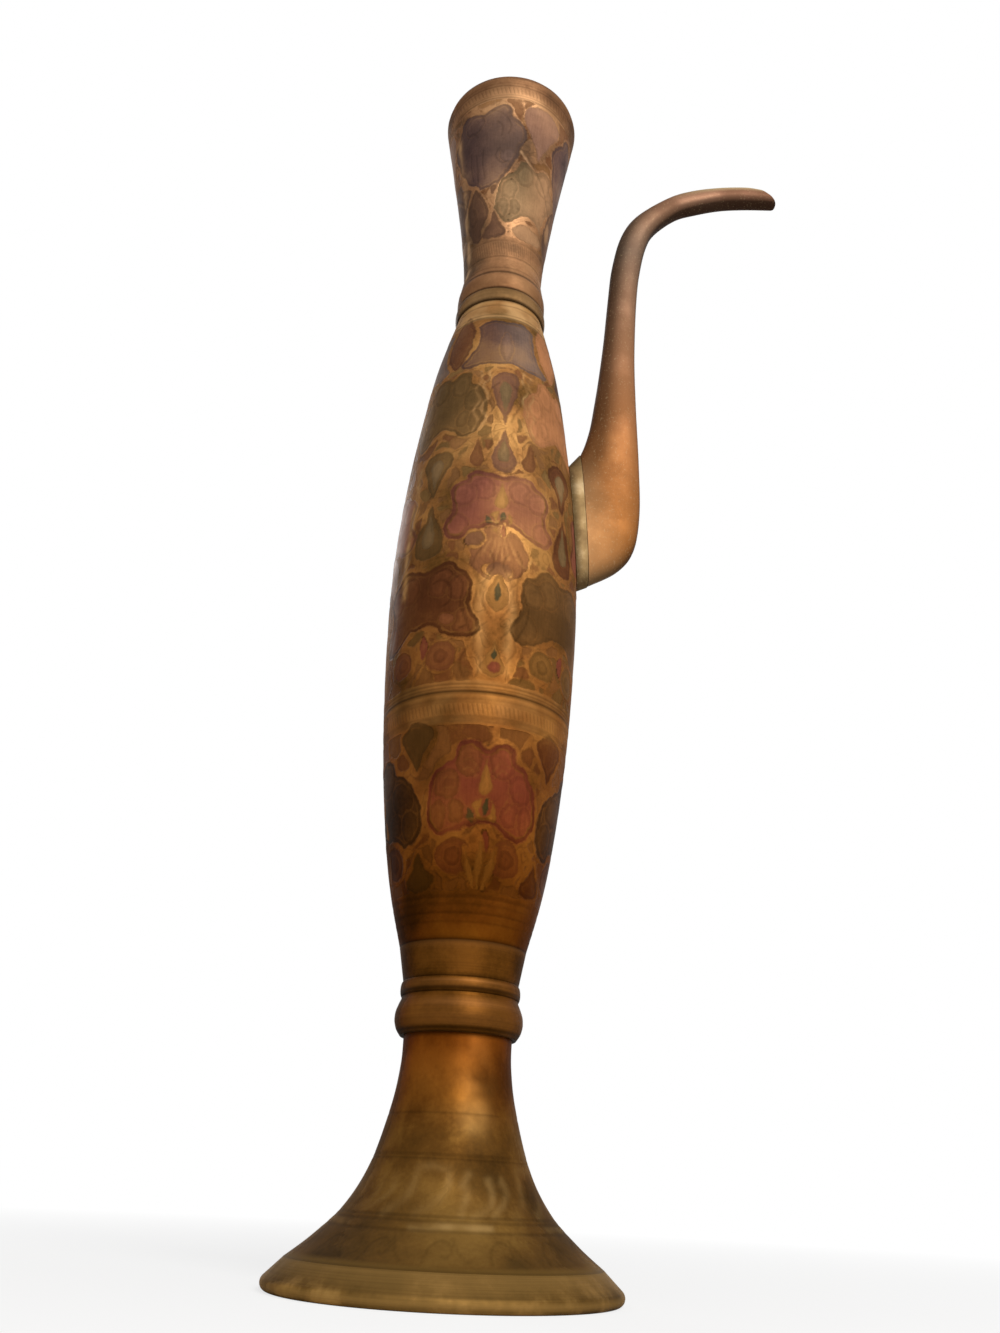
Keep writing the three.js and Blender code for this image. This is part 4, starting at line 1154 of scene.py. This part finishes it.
mouth_cut.fill(LOW_TURN, 582, sized(drop, 23, 34, lean=180), MOUTH_ROSE, contour=0)
mouth_cut.keep(LOW_TURN, 552, sized(oval, 18, 16, -4))
mouth_cut.keep(MOUTH_TURN + 30, 515, sized(oval, 9, 52, 1))
mouth_cut.fill_ground(492, 583.5, [GROUND, BROWN])
mouth_cut.stroke(MOUTH_TURN, 555, MOUTH_STRANDS, 0.4)
for level in MOUTH_NOTCH_LEVELS:
    mouth_cut.stroke(MOUTH_TURN + 31, level, [MOUTH_NOTCH], 0.9)
mouth_cut.stroke(0, 0, [MOUTH_VINE_CUT], 0.5)
mouth_cut.polish(0, 0, [MOUTH_VINE], 0.35, 0.7)
# A painted reflection down the left of the mouth
mouth_cut.polish(-62, 0, [MOUTH_LEFT_REFLECTION], 0.8, 2.2, 1)
mouth_cut.rings(MOUTH_LINES)
mouth_cut.tick_band(479.4, 488.6)
mouth_cut.tick_band(586.8, 592)
bore_top = mouth_bottom + NIPPLE_GRIP
mouth_inside = [[MOUTH_RADIUS - SEAM_CHAMFER - MOUTH_WALL, rim]]
mouth_inside += [[radius - MOUTH_WALL, level] for radius, level in cone_line[::6]][::-1]
mouth_inside += [[NECK_BORE_RADIUS, bore_top], [NECK_BORE_RADIUS, mouth_bottom]]
# Engraved cast brass that is held and poured over: paler and pinker rims than the body's, a grey
# purple fill with the brass shining through, and a plain lip gone grey
engraved_pale_brass = engraved_brass("engraved_pale_brass", ("#5c4430", "#8c6444", "#b0845c"), 0.46, 200, [
    (0.76, "#cfc9c4"), (0.79, "#ffffff"), (0.972, "#f4f4f4"), (0.985, "#c8c4c4"),
], "#bc946c")
mouth_cut.finish(
    "mouth_funnel", engraved_pale_brass, mouth_inside, [mouth_bottom, flange_top + 1],
    mouth_cut.marks(MOUTH_LACQUER),
)

# Spout
# Two thin cast halves brazed together in the upright plane, filed smooth, with a deep flat-sided belly
# on the body and a slender swan neck. The brass is coppery, and pale where hands wear the tip.
# Painted shade darkens its upper side up to the bend, its keel, and its lower side past the bend.
SPOUT_WALL = 1.6
SPOUT_ROOT_DEPTH = 21.0
SECTION_STEPS = 22
SECTION_POWER = 2.5
SPOUT_PARTS = 8
FILED_SHARP = 40
FILED_ROUGHNESS = 0.5
BARE_COPPER = "#b09a74"
# Waves a metre across and along: file strokes 1 mm wide and 11 mm long, and nicks of 1 mm, both
# coarser than the real ones of a few tenths of a millimetre
FILE_STROKES = (900, 900, 90)
FILE_NICKS = (1100, 1100, 800)
# Along and up of the upper edge and of the lower edge, and the depth, as shares of the whole
SPOUT_SHARES = np.array([
    (0, 0.268, 0.045, 0, 1), (0.017, 0.288, 0.167, 0.031, 1), (0.033, 0.313, 0.24, 0.074, 0.98),
    (0.048, 0.343, 0.267, 0.148, 0.93), (0.063, 0.388, 0.267, 0.255, 0.86),
    (0.084, 0.458, 0.257, 0.395, 0.77), (0.107, 0.553, 0.254, 0.517, 0.69),
    (0.128, 0.665, 0.266, 0.653, 0.64), (0.147, 0.749, 0.285, 0.738, 0.62),
    (0.191, 0.834, 0.321, 0.817, 0.61), (0.27, 0.893, 0.372, 0.865, 0.6),
    (0.433, 0.952, 0.482, 0.912, 0.58), (0.559, 0.978, 0.59, 0.933, 0.58),
    (0.705, 0.993, 0.719, 0.951, 0.57), (0.842, 1, 0.849, 0.959, 0.55), (0.899, 0.998, 1, 0.962, 0.5),
])


def section(high, low, half_depth, turn, inset):
    """Points of a flattened round section; turn 0 is its upper edge and half a turn its lower edge."""
    along, across = (
        np.sign(share) * np.abs(share) ** (2 / SECTION_POWER) for share in (np.cos(turn), np.sin(turn))
    )
    across[np.abs(np.sin(turn)) < 1e-9] = 0
    middle, reach = (high + low) / 2, (high - low) / 2
    reach = reach * (1 - inset / np.linalg.norm(reach))
    flat = middle + along[:, None] * reach
    return np.stack([flat[:, 0], across * (half_depth - inset), flat[:, 1]], -1)


def hollow(node, finish, material, walls, is_ring, marks):
    """Fits a closed wall between two grids of points in metres, open or closed around its sections.

    marks are values of named attributes on the outer grid.
    """
    stations, count = walls[0].shape[:2]
    grid = bmesh.new()
    verts = [[[grid.verts.new(p) for p in ring] for ring in wall.tolist()] for wall in walls]
    spans = count if is_ring else count - 1
    for station in range(stations - 1):
        for point in range(spans):
            beside = (point + 1) % count
            for wall in verts:
                low, high = wall[station], wall[station + 1]
                grid.faces.new((low[point], low[beside], high[beside], high[point]))
        for point in () if is_ring else (0, spans):
            outer, inner = ([wall[station][point], wall[station + 1][point]] for wall in verts)
            grid.faces.new(outer + inner[::-1])
    for station in (0, stations - 1):
        for point in range(spans):
            beside = (point + 1) % count
            outer, inner = ([wall[station][point], wall[station][beside]] for wall in verts)
            grid.faces.new(outer + inner[::-1])
    bmesh.ops.recalc_face_normals(grid, faces=grid.faces)
    mesh = bpy.data.meshes.new(f"{node}_{finish}")
    grid.to_mesh(mesh)
    grid.free()
    for label, value in marks.items():
        full = np.zeros((2, stations, count))
        full[0] = value
        field = mesh.attributes.new(label, "FLOAT", "POINT").data
        field.foreach_set("value", full.astype(np.float32).ravel())
    fit(mesh, node, material, FILED_SHARP)


def filed_brass(name, shades, cloud_mm, by_height=None):
    """Cast or soldered brass, filed along its length, darkened by dirt at its joints and by painted shade
    that its marks carry, with rubbed places.
    """
    material, tree, place = new_material(name)
    colour, skin, _ = patina(tree, place, shades, cloud_mm)
    dirt_and_shade = add(tree, "Attribute", attribute_name="dirt_and_shade")
    grime_and_shade = add(tree, "ValToRGB", {0: dirt_and_shade}, [(0.0, 1.0), (1.0, 0.25)])
    colour = add(tree, "Mix", {0: 1.0, 6: colour, 7: grime_and_shade}, data_type="RGBA", blend_type="MULTIPLY")
    if by_height:
        colour = toned_by_height(tree, place, colour, by_height)
    colour = rubbed_and_highlit(tree, colour, BARE_COPPER, 0.8)
    filing, nicks = (
        add(tree, "TexNoise", {
            "Vector": add(tree, "VectorMath", {0: place, 1: waves}, operation="MULTIPLY"),
            "Scale": 1.0, "Detail": detail,
        }) for waves, detail in ((FILE_STROKES, 3), (FILE_NICKS, 2))
    )
    nicks = add(tree, "ValToRGB", {0: nicks}, [(0.6, 0.0), (0.72, 0.22)])
    colour = add(tree, "Mix", {0: nicks, 6: colour, 7: linear(BARE_COPPER)}, data_type="RGBA")
    old_metal(tree, colour, skin, dirt_and_shade, FILED_ROUGHNESS, filing, 0.03)
    return material


spout_low, spout_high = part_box("spout_left_half")
spout_start = np.array([spout_low.x, spout_low.z]) / MM
spout_size = np.array([spout_high.x - spout_low.x, spout_high.z - spout_low.z]) / MM
upper_edge, lower_edge = (
    smooth(spout_start + SPOUT_SHARES[:, first:first + 2] * spout_size, SPOUT_PARTS) for first in (0, 2)
)
half_depths = smooth(SPOUT_SHARES[:, 4:5] * SPOUT_ROOT_DEPTH / 2, SPOUT_PARTS)[:, 0]

# Wear and painted shade from the root (0) to the tip (1), and from the upper edge (0) to the lower edge (1)
station = np.linspace(0, 1, len(upper_edge))[:, None]
around = np.linspace(0, 1, SECTION_STEPS + 1)
root, tip = np.clip(1 - station * 9, 0, 1), np.clip(station * 8 - 5.8, 0, 1)
neck, bend = np.clip(8 - station * 11, 0, 1), np.clip(station * 6 - 3.9, 0, 1)
ridge, upper_side = np.clip(4.4 - around * 9, 0, 1), np.clip(2.9 - around * 5.6, 0, 1)
flank, lower_side = np.clip(around * 4 - 0.8, 0, 1), np.clip(around * 3 - 1.8, 0, 1)
keel = np.clip(around * 6 - 4.8, 0, 1)
spout_marks = {
    "wear_and_sheen": np.maximum(tip * ridge, 0.28 * root * flank),
    # Painted shade on the upper side up to the bend, along the keel, and on the lower side past the bend
    "dirt_and_shade": 0.8 * upper_side * neck + (keel + lower_side * bend),
}
# Filed cast brass with much copper: a dull pink brown that smoke has greyed towards the bend, with
# fine bright file strokes and a tip that hands keep bare
filed_copper_brass = filed_brass("filed_copper_brass", ("#9a7860", "#a4816a", "#ae8c74"), CLOUD_MM, [
    (0.52, "#e8c080"), (0.62, "#e8c494"), (0.72, "#dccab6"), (0.84, "#a8acac"), (0.89, "#b4aca4"),
    (0.93, "#bcaca4"),
])
for node, side in (("spout_left_half", 1), ("spout_right_half", -1)):
    turn = side * np.linspace(0, np.pi, SECTION_STEPS + 1)
    walls = [
        MM * np.array([
            section(high, low, depth, turn, inset)
            for high, low, depth in zip(upper_edge, lower_edge, half_depths)
        ]) for inset in (0, SPOUT_WALL)
    ]
    hollow(node, "filed", filed_copper_brass, walls, False, spout_marks)

# Spout collar
# A saddle of hard silver solder run between the body and the root of the spout, filed back flush. It
# is paler and greener than the brass on both sides.
COLLAR_TOP_DROP = 7.0
COLLAR_BOTTOM_DROP = 2.5
COLLAR_SWELL = 0.4
COLLAR_ROWS = 9
FIT_GAP = 0.3
# Solder chills in smaller clouds than a patina makes
SOLDER_CLOUD_MM = 14

turn = np.linspace(0, 2 * np.pi, 4 * SECTION_STEPS, endpoint=False)
rows = np.linspace(0, 1, COLLAR_ROWS)[:, None, None]
root_high, root_low = upper_edge[0], lower_edge[0]
back = root_high - root_low
back = np.array([-back[1], back[0]]) / np.linalg.norm(back) * FIT_GAP
seat_high = np.array([0, root_high[1] - COLLAR_TOP_DROP])
seat_low = np.array([0, root_low[1] - COLLAR_BOTTOM_DROP])
collar_walls = []
for inset in (-COLLAR_SWELL, SPOUT_WALL):
    root = section(root_high + back, root_low + back, SPOUT_ROOT_DEPTH / 2, turn, inset)
    seat = section(seat_high, seat_low, SPOUT_ROOT_DEPTH / 2, turn, inset)
    wall_radius = np.interp(seat[:, 2], body_line[:, 1], body_line[:, 0]) + FIT_GAP / 2
    seat[:, 0] = AXIS_X / MM + np.sqrt(wall_radius ** 2 - seat[:, 1] ** 2)
    collar_walls.append(MM * (root * (1 - rows) + seat * rows))
seat_dirt = np.clip(rows[:, :, 0] * 1.5 - 0.6, 0, 0.8)
top_dirt = np.clip(np.cos(turn) * 2.5 - 1.3, 0, 0.8)
bottom_dirt = np.clip(np.cos(turn) * -4 - 3.2, 0, 0.6)
collar_marks = {"dirt_and_shade": np.maximum(np.maximum(seat_dirt, top_dirt), bottom_dirt)}
# Hard silver solder: a pale greenish grey band with a matt filed face, dirty where it meets the body
filed_solder = filed_brass("filed_solder", ("#7a6040", "#8c724c", "#a48c68"), SOLDER_CLOUD_MM)
hollow("spout_collar", "soldered", filed_solder, collar_walls, True, collar_marks)

# Floor, light and camera
# A pale matt floor in a soft white room. One large lamp stands in front on the right, and a small
# faint one behind on the left.
# The stage is measured in metres
FLOOR_SIZE = 6.0
FLOOR_ROUGHNESS = 0.9
FADE_START = 0.1
FADE_END = 0.9
FADE_LEAST = 0.75
ROOM_LIGHT = 0.14
# The camera as it was fitted to the rings in the photo, in metres, degrees and pixels
CAMERA_BACK = 0.43884
CAMERA_HEIGHT = 0.03288
CAMERA_TURN = 1.193
CAMERA_PITCH = 26.048
CAMERA_ROLL = 2.865
CAMERA_LENS_PIXELS = 1080
PICTURE_HEIGHT_PIXELS = 1333
SENSOR = 36
# Name, place, width, height, power in watts, level that it is aimed at and spread in degrees
LAMPS = (
    ("key_lamp", (0.45, -1.2, 0.95), 0.9, 1.1, 25, 0.3, 180),
    ("rim_lamp", (-0.6, 0.75, 0.95), 0.3, 0.4, 0.3, 0.52, 40),
)

bpy.ops.mesh.primitive_plane_add(size=FLOOR_SIZE, location=(AXIS_X, 0, 0))
floor = bpy.context.object
floor.name = "floor"
# Matt paint that takes the soft shadow near the ewer and fades to plain white away from it
pale_floor, tree, place = new_material("pale_floor")
paint = add(tree, "BsdfPrincipled", {"Base Color": linear("#f4f2ef"), "Roughness": FLOOR_ROUGHNESS})
camera_ray = add(tree, "LightPath").outputs["Is Camera Ray"]
length = add(tree, "VectorMath", {0: place}, operation="LENGTH").outputs["Value"]
far = add(tree, "MapRange", {0: length, 1: FADE_START, 2: FADE_END, 3: FADE_LEAST, 4: 1.0})
seen = add(tree, "Math", {0: camera_ray, 1: far}, operation="MULTIPLY")
white = add(tree, "Emission", {"Color": linear("#ffffff"), "Strength": 1.0})
faded_paint = add(tree, "MixShader", {0: seen, 1: paint, 2: white})
add(tree, "OutputMaterial", {"Surface": faded_paint})
floor.data.materials.append(pale_floor)
floor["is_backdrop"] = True

world = bpy.data.worlds.new("white_room")
bpy.context.scene.world = world
world.use_nodes = True
tree = world.node_tree
tree.nodes.clear()
rays = add(tree, "LightPath")
shown = rays.outputs["Is Camera Ray"]
for ray in ("Is Glossy Ray", "Is Transmission Ray"):
    shown = add(tree, "Math", {0: shown, 1: rays.outputs[ray]}, operation="MAXIMUM")
strength = add(tree, "MapRange", {0: shown, 3: ROOM_LIGHT, 4: 1.0})
room = add(tree, "Background", {"Color": linear("#ffffff"), "Strength": strength})
add(tree, "OutputWorld", {"Surface": room})

for name, place, width, height, power, level, spread in LAMPS:
    lamp = bpy.data.lights.new(name, "AREA")
    lamp.shape = "RECTANGLE"
    lamp.size, lamp.size_y, lamp.energy = width, height, power
    lamp.spread = math.radians(spread)
    stand = bpy.data.objects.new(name, lamp)
    stand.location = place
    aim = Vector((AXIS_X, 0, level)) - stand.location
    stand.rotation_euler = aim.to_track_quat("-Z", "Y").to_euler()
    stand.visible_camera = False
    bpy.context.scene.collection.objects.link(stand)

turn, pitch, roll = (math.radians(a) for a in (CAMERA_TURN, CAMERA_PITCH, CAMERA_ROLL))
forward = Vector((math.sin(turn) * math.cos(pitch), math.cos(turn) * math.cos(pitch), math.sin(pitch)))
right = Vector((math.cos(turn), -math.sin(turn), 0))
up = right.cross(forward)
right, up = right * math.cos(roll) + up * math.sin(roll), up * math.cos(roll) - right * math.sin(roll)
camera_data = bpy.data.cameras.new("camera")
camera_data.sensor_fit = "VERTICAL"
camera_data.sensor_height = SENSOR
camera_data.lens = SENSOR * CAMERA_LENS_PIXELS / PICTURE_HEIGHT_PIXELS
camera_data.clip_start = 0.01
camera = bpy.data.objects.new("camera", camera_data)
pose = Matrix((right, up, -forward)).transposed().to_4x4()
pose.translation = (AXIS_X, -CAMERA_BACK, CAMERA_HEIGHT)
camera.matrix_world = pose
bpy.context.scene.collection.objects.link(camera)
bpy.context.scene.camera = camera
bpy.context.scene.view_settings.view_transform = "Standard"

bpy.context.view_layer.update()
as_lists = lambda bounds: [[float(value) for value in corner] for corner in bounds]
{"cad": as_lists(cad_bounds), "visual": as_lists(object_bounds())}
